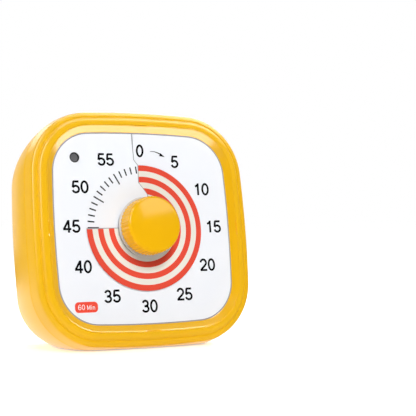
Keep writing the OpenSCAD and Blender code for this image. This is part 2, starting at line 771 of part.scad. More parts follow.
// Height of the disc's middle surface at a clockwise angle
function disc_height(a) = ramp_rise * (a / 360 - 0.5) - sheet_t / 2 + ramp_rise / 2;

module timer_disc() color(red) timer_frame() sheet_grid([for (i = [0 : disc_rows])
    let (a = disc_lead - 360 + disc_cut + (360 - disc_cut) * i / disc_rows)
    [for (r = disc_radii) [each clockwise(a, r), disc_height(a) + disc_t / 2]]], disc_t);

module disc_hub() color("gainsboro") timer_frame()
    ring(disc_hub_r, shaft_r + running_gap, hub_z[0], hub_z[1]);

collar_z = [1.25, 2];
module knob_collar() color("gainsboro") timer_frame() difference() {
    rotate_extrude() polygon([
        [0, collar_z[0]], [collar_r - 0.15, collar_z[0]], [collar_r, collar_z[0] + 0.15],
        [collar_r, collar_z[1] - 0.2], [collar_r - 0.2, collar_z[1]], [0, collar_z[1]]]);
    post(shaft_r, collar_z[0] - 1, collar_z[1] + 1);
}

ridge_depth = 0.24;
points_per_ridge = 4;
knob_base = collar_z[1] + 0.02;
knob_edge_r = 1.25;
knob_shoulder = 1.4;
knob_dome = 0.34;
knob_dome_r = knob_r - knob_shoulder;

// The knob's ridged outline: a wave of one ridge every 360 / knob_ridges degrees
module ridged_outline() {
    count = knob_ridges * points_per_ridge;
    polygon([for (i = [0 : count - 1])
        let (a = 360 * i / count, r = knob_r - ridge_depth / 2 * (1 - cos(a * knob_ridges)))
        [r * cos(a), r * sin(a)]]);
}

// What the knob is turned to: a straight side, a round edge and a slightly domed front
module knob_turning() {
    rotate_extrude() polygon(concat(
        [[0, knob_base - 1], [knob_r + 0.1, knob_base - 1], [knob_r + 0.1, knob_top - knob_shoulder - 0.1]],
        [for (a = [0 : 15 : 90])
            [knob_dome_r + knob_edge_r * cos(a), knob_top - knob_shoulder + knob_edge_r * sin(a)]],
        [for (s = [0.75 : -0.25 : 0]) [knob_dome_r * s, knob_top + knob_dome * (1 - s * s)]]));
}

// Hollow between the outer wall and the boss that grips the shaft: [radius at the mouth, radius inside]
knob_boss = [4, 4.3];
knob_wall = [9, 8.6];
knob_hollow_top = knob_top - 2.2;
module knob() color(yellow) timer_frame() difference() {
    intersection() {
        translate([0, 0, knob_base]) linear_extrude(10) ridged_outline();
        knob_turning();
    }
    rotate_extrude() polygon([
        [knob_boss[0], knob_base - 1], [knob_wall[0], knob_base - 1],
        [knob_wall[1], knob_hollow_top], [knob_boss[1], knob_hollow_top]]);
    post(shaft_r + 0.02, 0, shaft_z[1] + 0.1);
}

// ---------------------------------------------------------------- electrics

board_corner = [-28.8, 2];
board_size = [43, 29];
module circuit_board() color("darkgreen") timer_frame() difference() {
    translate([each board_corner, board_front - board_t]) cube([each board_size, board_t]);
    for (p = standoff_at) translate(p) post(board_screw_r + 0.1, -40, -20);
    for (x = led_lead_x) translate(indicator_at + [x, 0]) post(led_lead_r + 0.05, -40, -20);
}

board_screw_len = board_front - panel_front - 0.6;
module board_screws() color("silver") timer_frame()
    for (p = standoff_at) translate([each p, board_front])
        screw([board_screw_r, board_screw_len], [1.7, 1], small_screw_slot, [0]);

board_back = board_front - board_t;
buzzer_vent_r = 1.2;
buzzer_vent_depth = 1.5;
module buzzer() color(ink) timer_frame() translate(buzzer_at) difference() {
    post(buzzer_r, board_back - buzzer_h, board_back);
    post(buzzer_vent_r, board_back - buzzer_h - 1, board_back - buzzer_h + buzzer_vent_depth);
}

// Box of that size, centred in x and y, with its lowest face at z
module centred_box(size, z) {
    translate([-size[0] / 2, -size[1] / 2, z]) cube(size);
}

switch_size = [9, 4.4, 3.6];
switch_wall = 0.4;
switch_room = [7.8, 3.4, 2.2];
switch_window = [5.5, 1.9, 2];
lever_travel = 2.4;
lever_slider = [3.8, 3, 1.6];
lever_slider_z = 0.6;
lever_finger = [2.6, 1.6, 5.2];
module switch_frame() color("silver") timer_frame()
    translate([each switch_at, board_back - switch_size[2]]) difference() {
        centred_box(switch_size, 0);
        centred_box(switch_room, switch_wall);
        centred_box(switch_window, -1);
    }

module switch_lever() color(ink) timer_frame()
    translate([switch_at[0] - lever_travel / 2, switch_at[1], board_back - switch_size[2]]) {
        centred_box(lever_slider, lever_slider_z);
        centred_box(lever_finger + [0, 0, eps], lever_slider_z - lever_finger[2]);
    }

// AA cell with its button towards +x
cell_from = bay_x - contact_t - 0.1;
button_r = 2.7;
button_h = 1.2;
cell_edge = 0.6;
module battery_cell() color("#2f6db5") timer_frame() translate([cell_from, each cell_at]) rotate([0, -90, 0])
    rotate_extrude() polygon([
        [0, 0], [button_r, 0], [button_r, button_h], [cell_r - cell_edge, button_h],
        [cell_r, button_h + cell_edge], [cell_r, cell_len - cell_edge], [cell_r - cell_edge, cell_len],
        [0, cell_len]]);

// Round bar of radius r swept along points by rings of sides
module bar(points, r, sides = 6) {
    n = len(points);
    ring_at = function(i)
        let (t = direction(points[max(0, i - 1)], points[min(n - 1, i + 1)]),
             ref = abs(t[0]) < 0.9 ? [1, 0, 0] : [0, 1, 0],
             u = direction([0, 0, 0], cross(t, ref)), v = cross(t, u))
        [for (k = [0 : sides - 1]) let (a = 360 * k / sides) points[i] + r * (u * cos(a) + v * sin(a))];
    walls = [for (i = [0 : n - 2], k = [0 : sides - 1])
        let (l = (k + 1) % sides) [i * sides + k, (i + 1) * sides + k, (i + 1) * sides + l, i * sides + l]];
    ends = [[for (k = [0 : sides - 1]) k], [for (k = [sides - 1 : -1 : 0]) (n - 1) * sides + k]];
    polyhedron(flat_list([for (i = [0 : n - 1]) ring_at(i)]), concat(ends, walls), convexity = 8);
}

cell_end = cell_from - cell_len;
tab_w = 2.6;
tab_top = bay_front + 2.3;
// Contact plate at a bay's end wall, with a narrow tab through the bay's front for the lead
contact_w = 10;
module contact_plate(x) {
    translate([x, cell_at[0] - contact_w / 2, cell_at[1] - contact_w / 2])
        cube([contact_t, contact_w, bay_front - 0.1 - cell_at[1] + contact_w / 2]);
    translate([x, cell_at[0] - tab_w / 2, bay_front - 0.2])
        cube([contact_t, tab_w, tab_top - bay_front + 0.2]);
}

// Cone of wire that presses on the cell's flat end, on its plate
spring_turns = 2.5;
spring_steps = 40;
spring_wire_r = 0.35;
spring_r = [4.4, 2.5];
module spring_contact() color("silver") timer_frame() {
    contact_plate(-bay_x);
    from = -bay_x + contact_t + spring_wire_r;
    to = cell_end - spring_wire_r - 0.02;
    bar([for (i = [0 : spring_steps])
        let (t = i / spring_steps, a = 360 * spring_turns * t,
             r = spring_r[0] + (spring_r[1] - spring_r[0]) * t)
        [from + (to - from) * t, cell_at[0] + r * cos(a), cell_at[1] + r * sin(a)]], spring_wire_r);
}

module plate_contact() color("silver") timer_frame() contact_plate(bay_x - contact_t);

// Route of the right-hand lead from the contact's tab, over the bay and back to the board
lead_r = 0.5;
lead_route = [[bay_x - contact_t - 0.06, cell_at[0], -21.45], [26.2, -18, -21.4], [24.5, -16, -21.1],
              [21, -12, -21], [14, -9.5, -21], [11, -7.4, -21.2], [8.5, -6, -23.5], [7, -3, -27],
              [6, 1.5, -29.4], [6, 4.2, -30.5], [6, 4.6, board_front + 0.16]];
module battery_leads() for (side = [-1, 1]) color(side < 0 ? ink : red) timer_frame()
    bar([for (p = lead_route) [side * p[0], p[1], p[2]]], lead_r);

// Door of the battery bay. Its lower edge is round about the stubs that it turns on
module door_shape() {
    translate(door_pivot) circle(door_edge_r);
    translate([door_pivot[0], door_pivot[1] - door_edge_r]) square([door_h - door_edge_r, 2 * door_edge_r]);
}
recess_r = 1;
recess_len = 11;
recess_from_top = 3.4;
module battery_door() color("#3a3a3d") timer_frame() {
    difference() {
        translate([-door_w / 2, 0, 0]) rotate([90, 0, 90]) linear_extrude(door_w) door_shape();
        // Finger recess
        translate([0, door_top - recess_from_top, -panel_back - 0.3]) rotate([90, 0, 90])
            cylinder(r = recess_r, h = recess_len, center = true);
    }
    for (side = [-1, 1])
        translate([side * (door_w / 2 + door_stub_len / 2 - eps), door_pivot[0], door_pivot[1]])
            rotate([0, 90, 0]) cylinder(r = door_stub_r, h = door_stub_len, center = true);
}

// ---------------------------------------------------------------- assembly

silicone_cover();
front_bezel();
dial_plate();
dial_numerals();
minute_marks();
start_arrow();
range_badge();
backing_plate();
indicator_lens();
light_pipe();
indicator_led();
rear_housing();
housing_screws();
movement_case();
movement_cover();
movement_screws();
shaft_bush();
idler_pin();
idler_gear();
drive_motor();
motor_pinion();
output_wheel();
clutch_spring();
clutch_collar();
shaft_clip();
knob_shaft();
timer_disc();
disc_hub();
knob_collar();
knob();
circuit_board();
board_screws();
buzzer();
switch_frame();
switch_lever();
battery_cell();
spring_contact();
plate_contact();
battery_leads();
battery_door();
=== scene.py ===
"""Looks of the visual countdown timer: its moulded, printed and striped pieces as fine meshes,
and a procedural finish for every other piece.

Pieces are drawn in millimetres in the dial's own frame, x right, y up the dial, z out towards
the user, with the origin in the middle of the dial. place() puts them in the model's frame."""
import json
import math

import bmesh
import bpy
import numpy as np
from mathutils import Matrix, Vector
from mathutils.geometry import delaunay_2d_cdt


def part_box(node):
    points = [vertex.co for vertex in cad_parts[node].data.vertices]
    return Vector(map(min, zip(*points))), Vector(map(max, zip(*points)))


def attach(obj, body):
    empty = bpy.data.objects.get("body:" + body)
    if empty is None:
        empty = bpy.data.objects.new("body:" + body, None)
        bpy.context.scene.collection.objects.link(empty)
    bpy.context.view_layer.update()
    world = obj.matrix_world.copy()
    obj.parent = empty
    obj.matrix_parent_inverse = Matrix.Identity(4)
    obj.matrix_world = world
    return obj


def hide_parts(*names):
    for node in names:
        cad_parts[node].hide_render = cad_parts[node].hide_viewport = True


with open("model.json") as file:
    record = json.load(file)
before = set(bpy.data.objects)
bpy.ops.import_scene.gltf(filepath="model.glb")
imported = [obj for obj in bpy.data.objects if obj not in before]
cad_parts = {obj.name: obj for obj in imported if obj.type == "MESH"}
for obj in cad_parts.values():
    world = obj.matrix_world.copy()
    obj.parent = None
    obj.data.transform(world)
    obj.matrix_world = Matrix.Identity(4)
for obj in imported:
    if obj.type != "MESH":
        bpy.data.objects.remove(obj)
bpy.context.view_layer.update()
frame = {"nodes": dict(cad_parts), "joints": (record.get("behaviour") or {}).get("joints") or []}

# ---------------------------------------------------------------- the dial's frame

MM = 0.001
knob_joint = next(j for j in frame["joints"] if j["name"] == "knob_turn")
CENTRE = np.array(knob_joint["pos_m"], float)
OUT = np.array(knob_joint["axis"], float)
RIGHT = np.array([1.0, 0.0, 0.0])
UP = np.cross(OUT, RIGHT)


def place(points):
    """Points of the dial's frame, in millimetres, as points of the model's frame, in metres."""
    points = np.asarray(points, float).reshape(-1, 3)
    return CENTRE + (points[:, :1] * RIGHT + points[:, 1:2] * UP + points[:, 2:] * OUT) * MM


# ---------------------------------------------------------------- camera

PICTURE = 416
FOCAL_PIXELS = 1146.7
SENSOR = 36.0
VIEW_YAW, VIEW_PITCH, VIEW_ROLL = -29.18, -8.27, -4.39
VIEW_TARGET = (27.88, 7.59, 0)
VIEW_DISTANCE = 0.4471


def make_camera():
    """A camera that looks at the timer from its left, a little from below the dial's middle."""
    yaw, pitch, roll = (math.radians(a) for a in (VIEW_YAW, VIEW_PITCH, VIEW_ROLL))
    back = (RIGHT * math.sin(yaw) + OUT * math.cos(yaw)) * math.cos(pitch) + UP * math.sin(pitch)
    level = np.cross(-back, UP)
    level /= np.linalg.norm(level)
    above = np.cross(back, level)
    side = level * math.cos(roll) + above * math.sin(roll)
    top = above * math.cos(roll) - level * math.sin(roll)
    camera = bpy.data.objects.new("camera", bpy.data.cameras.new("camera"))
    camera.data.sensor_width = SENSOR
    camera.data.lens = SENSOR * FOCAL_PIXELS / PICTURE
    camera.data.clip_start = 0.01
    axes = Matrix([side, top, back]).transposed().to_4x4()
    camera.matrix_world = Matrix.Translation(place(VIEW_TARGET)[0] + back * VIEW_DISTANCE) @ axes
    bpy.context.scene.collection.objects.link(camera)
    bpy.context.scene.camera = camera


make_camera()

# ---------------------------------------------------------------- sizes, in millimetres

# The dial's outline: half its width, sides that bow out a little, and round corners
DIAL_HALF = 36.45
SIDE_BOW_R = 430.0
CORNER_R = 15.6
# The dial plate reaches a little under the bezel
PLATE_CORNER_R = 17.0
PLATE_MARGIN = 1.7
SHEET_T = 0.4
# The dial's ramp: its rise over one turn, the radius up to which it has all of that rise, and the
# radius from which the dial is flat
RAMP_RISE = 1.2
RAMP_FULL_R = 24.4
RAMP_FLAT_R = 34.0
# The slit: its width, and its kinks as [radius, x]
SLIT_W = 0.22
SLIT_KINKS = [(5.2, 1.1), (12.6, 2.1), (17.2, -1.35), (23.9, -1.2), (25.9, -2.7), (60, -2.7)]
# A grey line of painted shade along the slit, for the shadow in its gap: how far its two sides lie
# from the slit's edge, how far out it starts from the slit's inner end, and how far it stands above the
# dial
SLIT_SHADE_NEAR = 0.01
SLIT_SHADE_FAR = 0.3
SLIT_SHADE_START = 0.2
SLIT_SHADE_PROUD = 0.01
# The numerals: their ring, their height, and how many degrees clockwise they are turned off their
# minutes, as a steady part and a part that swings with the sine of the angle
NUMERAL_RING_R = 29.6
NUMERAL_H = 4.65
NUMERAL_TURN = 0.3
NUMERAL_SWAY = -0.9
# The minute marks
TICK_W = 0.52
TICK_OUTER_R = 23.4
SHORT_TICK_R = 20.7
LONG_TICK_R = 18.9
# How far ink stands above a surface and reaches into it
INK_PROUD = 0.03
INK_SUNK = 0.1
# The disc. Its leading edge is a clockwise angle and its cut a width, both in degrees
DISC_R = 23.95
DISC_T = 0.2
DISC_HOLE_R = 4.3
DISC_LEAD = 269.5
DISC_CUT = 0.9
STRIPE = 2.2
STRIPES = 6
# Rings of points between the disc's hole and its stripes, and rows of points round it
DISC_INNER_RINGS = (7.0, 9.5)
DISC_ROWS = 361
# The knob, which narrows slightly towards its round front edge
KNOB_BASE_R = 10.9
KNOB_R = 10.8
KNOB_TOP = 9.3
KNOB_EDGE_R = 1.6
KNOB_DOME = 0.34
KNOB_RIDGES = 48
RIDGE_DEPTH = 0.22
RIDGE_FADE = 1.5
# Underneath: the bore for the shaft, and the hollow between the boss and the wall, as their radii
# at its mouth and at its end
BORE_R = 2.02
BORE_END = 6.5
HOLLOW_END = 7.1
HOLLOW_R = ((4, 9), (4.3, 8.6))
# The collar under the knob
COLLAR_R = 11.5
COLLAR_HOLE_R = 2.1
COLLAR_EDGE_R = 0.2
COLLAR_Z = (1.25, 2.0)
# The indicator and the badge on the dial
INDICATOR_AT = (-26.8, 26.4)
INDICATOR_HOLE_R = 1.95
BADGE_AT = (-25.6, -29.1)
BADGE_SIZE = (9.0, 3.9)
BADGE_CORNER_R = 1.45
BADGE_PEN = 0.11
# The soft cover: its reach past the dial, its thickness, its curved side, its back edge, its depth
# and half the width of the opening in its back
COVER_REACH = 8.56
COVER_T = 1.8
SIDE_CURVE_R = 84.0
CREASE_DEPTH = 6.0
SIDE_END = 36.0
BACK_EDGE_R = 9.0
BACK_DEPTH = 42.0
BACK_OPENING = 30.0
# The cover sags by this share of the distance behind the dial. It is pressed flat where it stands:
# the thickness left there, and the height over which its curve eases into the flat
SINK = 0.043
BASE_T = 1.9
REST_BLEND = 0.4
# The back panel and its switch
PANEL_BACK = -40.0
SWITCH_AT = (-19.0, 9.0)
SWITCH_WORD_H = 2.0
SWITCH_WORD_RISE = 3.3
# The battery's bare ends and the coloured band of its sleeve
CELL_TIP = 0.8
CELL_FOOT = 2.2
CELL_BAND = 15
# Gap between the faint slanting lines in the disc's film
FILM_LINE_GAP = 0.55

# ---------------------------------------------------------------- shader building


def shade(code):
    """A colour written as #rrggbb, as the linear values that a shader takes."""
    parts = [int(code[i:i + 2], 16) / 255 for i in (1, 3, 5)]
    linear = [p / 12.92 if p <= 0.04045 else ((p + 0.055) / 1.055) ** 2.4 for p in parts]
    return (*linear, 1.0)


class Wire:
    """An output socket that plain arithmetic works on: each operator adds a Math node."""

    def __init__(self, finish, socket):
        self.finish = finish
        self.socket = socket

    def __add__(self, other):
        return self.finish.math("ADD", self, other)

    def __sub__(self, other):
        return self.finish.math("SUBTRACT", self, other)

    def __rsub__(self, other):
        return self.finish.math("SUBTRACT", other, self)

    def __mul__(self, other):
        return self.finish.math("MULTIPLY", self, other)

    __radd__ = __add__
    __rmul__ = __mul__

    def step(self, low, high):
        """0 below low, 1 above high and smooth between them."""
        return self.finish.node("ShaderNodeMapRange", {"interpolation_type": "SMOOTHSTEP"},
                                {"Value": self, "From Min": low, "From Max": high})


class Finish:
    """A material's nodes round its Principled shader. even sets the sockets that don't vary."""

    def __init__(self, name, **even):
        self.material = bpy.data.materials.new(name)
        self.material.use_nodes = True
        self.tree = self.material.node_tree
        self.shader = self.tree.nodes["Principled BSDF"]
        for socket, value in even.items():
            self.feed(self.shader.inputs[socket.replace("_", " ")], value)

    def feed(self, socket, value):
        """Links a wire to a socket, or sets the socket to a value."""
        if isinstance(value, Wire):
            self.tree.links.new(value.socket, socket)
        else:
            socket.default_value = value

    def node(self, kind, settings=None, sockets=None, output=0):
        """A node of a kind, its settings first and then its sockets, as a wire from one output."""
        made = self.tree.nodes.new(kind)
        for name, value in (settings or {}).items():
            setattr(made, name, value)
        for name, value in (sockets or {}).items():
            self.feed(made.inputs[name], value)
        return Wire(self, made.outputs[output])

    def math(self, operation, *values):
        """A Math node on numbers or wires."""
        return self.node("ShaderNodeMath", {"operation": operation}, dict(enumerate(values)))

    def mix(self, factor, first, second):
        """A mix of two colours."""
        return self.node("ShaderNodeMix", {"data_type": "RGBA"}, {0: factor, 6: first, 7: second}, 2)

    def vector(self, operation, first, second, output=0):
        """A Vector Math node, whose output 0 is a vector and 1 a number."""
        return self.node("ShaderNodeVectorMath", {"operation": operation}, {0: first, 1: second}, output)

    def place(self):
        """The point in the model's frame, in metres."""
        return self.node("ShaderNodeTexCoord", output=3)

    def along(self, direction, start=CENTRE):
        """How far the point lies along a direction from a start, in millimetres."""
        offset = self.vector("SUBTRACT", self.place(), tuple(start))
        return self.vector("DOT_PRODUCT", offset, tuple(direction), 1) * (1 / MM)

    def noise(self, size, detail=3.0, stretch=(1, 1, 1)):
        """Noise from 0 to 1 whose lumps are about size millimetres across."""
        at = self.vector("MULTIPLY", self.place(), tuple(s / (size * MM) for s in stretch))
        return self.node("ShaderNodeTexNoise", None, {"Vector": at, "Scale": 1.0, "Detail": detail})

    def tint(self, factor, first, second):
        """Base colour, mixed from two by a factor that varies."""
        self.feed(self.shader.inputs["Base Color"], self.mix(factor, first, second))

    def rough(self, middle, swing, size):
        """Roughness that swings round a middle value, in patches about size millimetres across."""
        self.feed(self.shader.inputs["Roughness"], middle + swing * (self.noise(size) - 0.5))

    def relief(self, height, depth):
        """Bump of a height from 0 to 1 over a depth in millimetres."""
        bump = self.node("ShaderNodeBump", None, {"Height": height, "Distance": depth * MM})
        self.feed(self.shader.inputs["Normal"], bump)


# ---------------------------------------------------------------- finishes


def moulded(name, light, dark, middle, grain, depth, **even):
    """Moulded plastic or rubber: slight mottling, uneven gloss and a fine grain."""
    made = Finish(name, **even)
    made.tint(made.noise(9.0), shade(light), shade(dark))
    made.rough(middle, 0.03, 4.0)
    made.relief(made.noise(grain, detail=2.0), depth)
    return made


def metal(name, light, dark, middle, stretch=(1, 12, 1)):
    """Metal with fine drawn lines."""
    made = Finish(name, Metallic=1.0)
    lines = made.noise(1.2, stretch=stretch)
    made.tint(lines, shade(light), shade(dark))
    made.feed(made.shader.inputs["Roughness"], middle + 0.15 * (lines - 0.5))
    made.relief(lines, 0.004)
    return made


def dial_finish():
    """White printed sheet with a fine tooth."""
    made = Finish("dial_sheet", Specular_IOR_Level=0.35)
    made.tint(made.noise(14.0), shade("#f6f9fe"), shade("#f2f5fb"))
    made.rough(0.42, 0.06, 5.0)
    made.relief(made.noise(0.35, detail=2.0), 0.004)
    return made


def ink(name, light, dark):
    """Printed ink, nearly matt. The grey of the painted shade lines is made the same way."""
    made = Finish(name, Specular_IOR_Level=0.06)
    made.tint(made.noise(1.5), shade(light), shade(dark))
    made.rough(0.4, 0.1, 1.0)
    made.relief(made.noise(0.3, detail=2.0), 0.004)
    return made


def disc_finish(name, light, dark):
    """Printed disc: the ink lies over faint slanting lines in the film."""
    made = Finish(name, Specular_IOR_Level=0.12)
    slant = made.along((RIGHT + UP) / math.sqrt(2))
    lines = made.math("SINE", slant * (2 * math.pi / FILM_LINE_GAP)) * 0.5 + 0.5
    soft = lines * 0.7 + made.noise(0.8) * 0.3
    made.tint(soft, shade(light), shade(dark))
    made.rough(0.4, 0.06, 2.0)
    made.relief(soft, 0.004)
    return made


def board_finish():
    """Green solder mask over tracks."""
    made = Finish("board_green", Coat_Roughness=0.1, Coat_Weight=0.4)
    tracks = made.node("ShaderNodeTexBrick", {"offset": 0.37}, {
        "Vector": made.place(), "Scale": 420.0, "Mortar Size": 0.012, "Brick Width": 1.3,
        "Row Height": 0.42}, 1)
    made.tint(tracks, shade("#1d6b3c"), shade("#2c8a52"))
    made.rough(0.3, 0.1, 3.0)
    made.relief(tracks, 0.03)
    return made


def cell_finish():
    """Battery in a printed sleeve, with bare metal at both ends."""
    low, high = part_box("battery_cell")
    made = Finish("cell_sleeve")
    along = made.along(RIGHT, (low.x, 0, 0))
    length = (high.x - low.x) / MM
    past_tip = (along - CELL_TIP).step(-0.05, 0.05)
    at_foot = (along - (length - CELL_FOOT)).step(-0.05, 0.05)
    covered = past_tip * (1 - at_foot)
    band = (along - (length - CELL_BAND)).step(-0.1, 0.1)
    sleeve = made.mix(band, shade("#23262b"), shade("#b9772f"))
    made.tint(covered, shade("#c9c9c6"), sleeve)
    made.feed(made.shader.inputs["Metallic"], 1 - covered * 0.6)
    made.rough(0.3, 0.08, 3.0)
    made.relief(made.noise(1.0), 0.01)
    return made


def lead_finish():
    """Rubber lead, black on the left and red on the right."""
    made = Finish("lead_rubber")
    made.tint(made.along(RIGHT).step(-0.1, 0.1), shade("#1c1c1e"), shade("#b3261d"))
    made.rough(0.45, 0.1, 1.0)
    made.relief(made.noise(0.4), 0.01)
    return made


FINISHES = {
    "yellow_silicone": moulded("yellow_silicone", "#f3bb17", "#f1b811", 0.3, 0.5, 0.004,
                               Specular_IOR_Level=0.4),
    "yellow_plastic": moulded("yellow_plastic", "#f3b913", "#f1b60d", 0.22, 0.4, 0.002,
                              Specular_IOR_Level=0.8),
    "knob_plastic": moulded("knob_plastic", "#efb513", "#edb20d", 0.1, 0.4, 0.002,
                            Specular_IOR_Level=0.25),
    "dial_sheet": dial_finish(),
    "black_ink": ink("black_ink", "#08080a", "#0d0d10"),
    "grey_ink": ink("grey_ink", "#1d1e21", "#26272a"),
    # Grey of painted shade: the lines for the gap round the dial, the slit and the disc's leading edge
    "shade_line_ink": ink("shade_line_ink", "#a0a0a5", "#98989d"),
    "red_ink": ink("red_ink", "#ef5340", "#e94c3a"),
    "white_ink": ink("white_ink", "#fdfdfd", "#f3f3f3"),
    "disc_print": disc_finish("disc_red", "#e85440", "#e04b39"),
    "disc_cream": disc_finish("disc_cream", "#eeebe3", "#e5e1d6"),
    "white_plastic": moulded("white_plastic", "#efefed", "#e8e8e6", 0.4, 0.5, 0.006),
    "collar_plastic": moulded("collar_plastic", "#dddcda", "#d3d2cf", 0.35, 0.5, 0.006),
    "smoked_lens": moulded("smoked_lens", "#6e6e70", "#646467", 0.3, 0.4, 0.004),
    "clear_plastic": moulded("clear_plastic", "#f2f6f8", "#e6ecef", 0.12, 0.8, 0.004,
                             Transmission_Weight=0.85),
    "led_epoxy": moulded("led_epoxy", "#e9705e", "#dd5f4d", 0.12, 0.8, 0.004,
                         Transmission_Weight=0.5),
    "dark_plastic": moulded("dark_plastic", "#2b2b2e", "#242427", 0.5, 0.22, 0.03),
    "black_plastic": moulded("black_plastic", "#161618", "#1d1d1f", 0.4, 0.3, 0.012),
    "movement_plastic": moulded("movement_plastic", "#dcd7c8", "#d2ccba", 0.42, 0.5, 0.01),
    "nylon": moulded("nylon", "#efece2", "#e4e0d3", 0.38, 0.5, 0.006, Subsurface_Weight=0.1),
    "steel": metal("steel", "#c9cbce", "#adb0b4", 0.3),
    "spring_steel": metal("spring_steel", "#b7b4ad", "#96938c", 0.35, (12, 1, 1)),
    "brass": metal("brass", "#d9b566", "#c29b49", 0.28),
    "board_green": board_finish(),
    "cell_sleeve": cell_finish(),
    "lead_rubber": lead_finish(),
    # Near black, painted shade: the indicator's recess wall and plug, dark as the recess's shadow
    "recess_shade": moulded("recess_shade", "#2a2a2c", "#232325", 0.35, 0.4, 0.004),
}

for node in frame["nodes"].values():
    for index, carried in enumerate(node.data.materials):
        node.data.materials[index] = FINISHES[carried.name.split(".")[0]].material

# ---------------------------------------------------------------- mesh building


def piece(name, points, faces, finishes, body, stands_for=(), kinds=None, sharp=32, placed=False):
    """A closed mesh with its finishes, riding on a body. kinds gives each face's finish, sharp the
    angle in degrees from which edges stay sharp, and placed points are in the model's frame."""
    mesh = bpy.data.meshes.new(name)
    corners = points if placed else place(points)
    mesh.from_pydata(np.asarray(corners).tolist(), [], [list(map(int, f)) for f in faces])
    for finish in finishes:
        mesh.materials.append(FINISHES[finish].material)
    if kinds is not None:
        mesh.polygons.foreach_set("material_index", np.asarray(kinds, np.int32))
    work = bmesh.new()
    work.from_mesh(mesh)
    bmesh.ops.remove_doubles(work, verts=work.verts, dist=1e-7)
    bmesh.ops.recalc_face_normals(work, faces=work.faces)
    work.to_mesh(mesh)
    work.free()
    mesh.shade_smooth()
    mesh.set_sharp_from_angle(angle=math.radians(sharp))
    made = bpy.data.objects.new(name, mesh)
    bpy.context.scene.collection.objects.link(made)
    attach(made, body)
    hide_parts(*stands_for)
    return made


def grid_faces(rows, columns, wrap_rows=False, wrap_columns=False):
    """Quads of a grid whose point (i, j) is number i * columns + j."""
    faces = []
    for i in range(rows if wrap_rows else rows - 1):
        for j in range(columns if wrap_columns else columns - 1):
            row, next_row, beside = i * columns, (i + 1) % rows * columns, (j + 1) % columns
            faces.append([row + j, row + beside, next_row + beside, next_row + j])
    return faces


def eased(share):
    """A share from 0 to 1 that starts and ends gently."""
    return share * share * (3 - 2 * share)


def soften(line, rounds=3):
    """Cuts the corners of a line, which turns it into a smooth curve inside its corners."""
    line = np.array(line, float)
    for _ in range(rounds):
        near = line[:-1] * 0.75 + line[1:] * 0.25
        far = line[:-1] * 0.25 + line[1:] * 0.75
        line = np.concatenate([line[:1], np.stack([near, far], 1).reshape(-1, 2), line[-1:]])
    return line


def arc(middle, radii, start, end, steps):
    """Points along an ellipse's arc between two angles in degrees, anticlockwise from x."""
    turn = np.radians(np.linspace(start, end, steps + 1))
    return np.stack([middle[0] + radii[0] * np.cos(turn), middle[1] + radii[1] * np.sin(turn)], 1)


def turned(profile, middle=(0, 0), count=96):
    """Turns a profile of [radius, z] round an axis through the middle. Returns points, faces."""
    profile = np.asarray(profile, float)
    turn = np.linspace(0, 2 * math.pi, count, endpoint=False)
    points = np.empty((len(profile), count, 3))
    points[..., 0] = middle[0] + profile[:, :1] * np.cos(turn)
    points[..., 1] = middle[1] + profile[:, :1] * np.sin(turn)
    points[..., 2] = profile[:, 1:]
    return points.reshape(-1, 3), grid_faces(len(profile), count, True, True)


# Distances from the middle of a side where the outline has points, closest round the pry notches
HALF_SIDE_MARKS = (0, 1.2, 1.9, 2.2, 2.5, 2.8, 3.1, 4, 7, 10, 13, 16)
SIDE_MARKS = sorted({s * m for s in (-1, 1) for m in HALF_SIDE_MARKS})
CORNER_STEPS = 40


def outline_stations():
    """Points round the dial's outline, the direction outwards at each, and how far each lies
    from the middle of its side. The sides bow out a little, and round corners join them."""
    bow = SIDE_BOW_R - DIAL_HALF
    reach = SIDE_BOW_R - CORNER_R
    corner_at = (math.sqrt(2 * reach * reach - bow * bow) - bow) / 2
    bow_end = math.atan2(corner_at, corner_at + bow)
    base, outward, from_middle = [], [], []
    for quarter in range(4):
        c, s = [(1, 0), (0, 1), (-1, 0), (0, -1)][quarter]
        for mark in SIDE_MARKS:
            turn = math.radians(90 * quarter) + math.asin(mark / SIDE_BOW_R)
            outward.append((math.cos(turn), math.sin(turn)))
            base.append((SIDE_BOW_R * outward[-1][0] - bow * c, SIDE_BOW_R * outward[-1][1] - bow * s))
            from_middle.append(abs(mark))
        for step in range(CORNER_STEPS + 1):
            share = step / CORNER_STEPS
            turn = math.radians(90 * quarter) + bow_end + (math.pi / 2 - 2 * bow_end) * share
            corner = (corner_at * (c - s), corner_at * (s + c))
            outward.append((math.cos(turn), math.sin(turn)))
            base.append((corner[0] + CORNER_R * outward[-1][0], corner[1] + CORNER_R * outward[-1][1]))
            from_middle.append(corner_at)
    return np.array(base), np.array(outward), np.array(from_middle)


BASE, OUTWARD, FROM_MIDDLE = outline_stations()


def swept(profile, sink=0.0):
    """Carries a closed profile of [offset, z] round the dial's outline. Returns a grid of points."""
    profile = np.asarray(profile, float)
    points = np.empty((len(profile), len(BASE), 3))
    points[..., :2] = BASE + OUTWARD * profile[:, None, :1]
    points[..., 2] = profile[:, 1:]
    points[..., 1] += sink * np.minimum(0, points[..., 2])
    return points


def rested(points, level, blend):
    """Presses points that are below a level up onto it, easing into it over a short height."""
    height = points[:, 2] - level
    bend = (height + blend) ** 2 / (4 * blend)
    points[:, 2] = level + np.where(height < -blend, 0, np.where(height > blend, height, bend))
    return points


# ---------------------------------------------------------------- soft cover and bezel

# Front of the soft cover as [offset from the dial, z], outwards from its seam with the bezel: a
# shoulder, a groove, a thin ring that slopes outwards, and the start of the side
COVER_FRONT = [(2.76, 0.75), (2.76, 1.6), (2.76, 1.66), (2.86, 1.68), (3.4, 1.68), (4.3, 1.58),
               (4.95, 1.3), (5.35, 0.88), (5.6, 0.6), (5.75, 0.55), (5.95, 0.62), (6.3, 0.6),
               (6.8, 0.42), (7.35, 0.16), (7.76, -0.18), (7.99, -1.1), (8.3, -3.4)]
# Shallow crease round the side
CREASE = [(8.5, -5.7), (8.53, -5.86), (8.43, -6.0), (8.53, -6.14), (8.55, -6.3)]
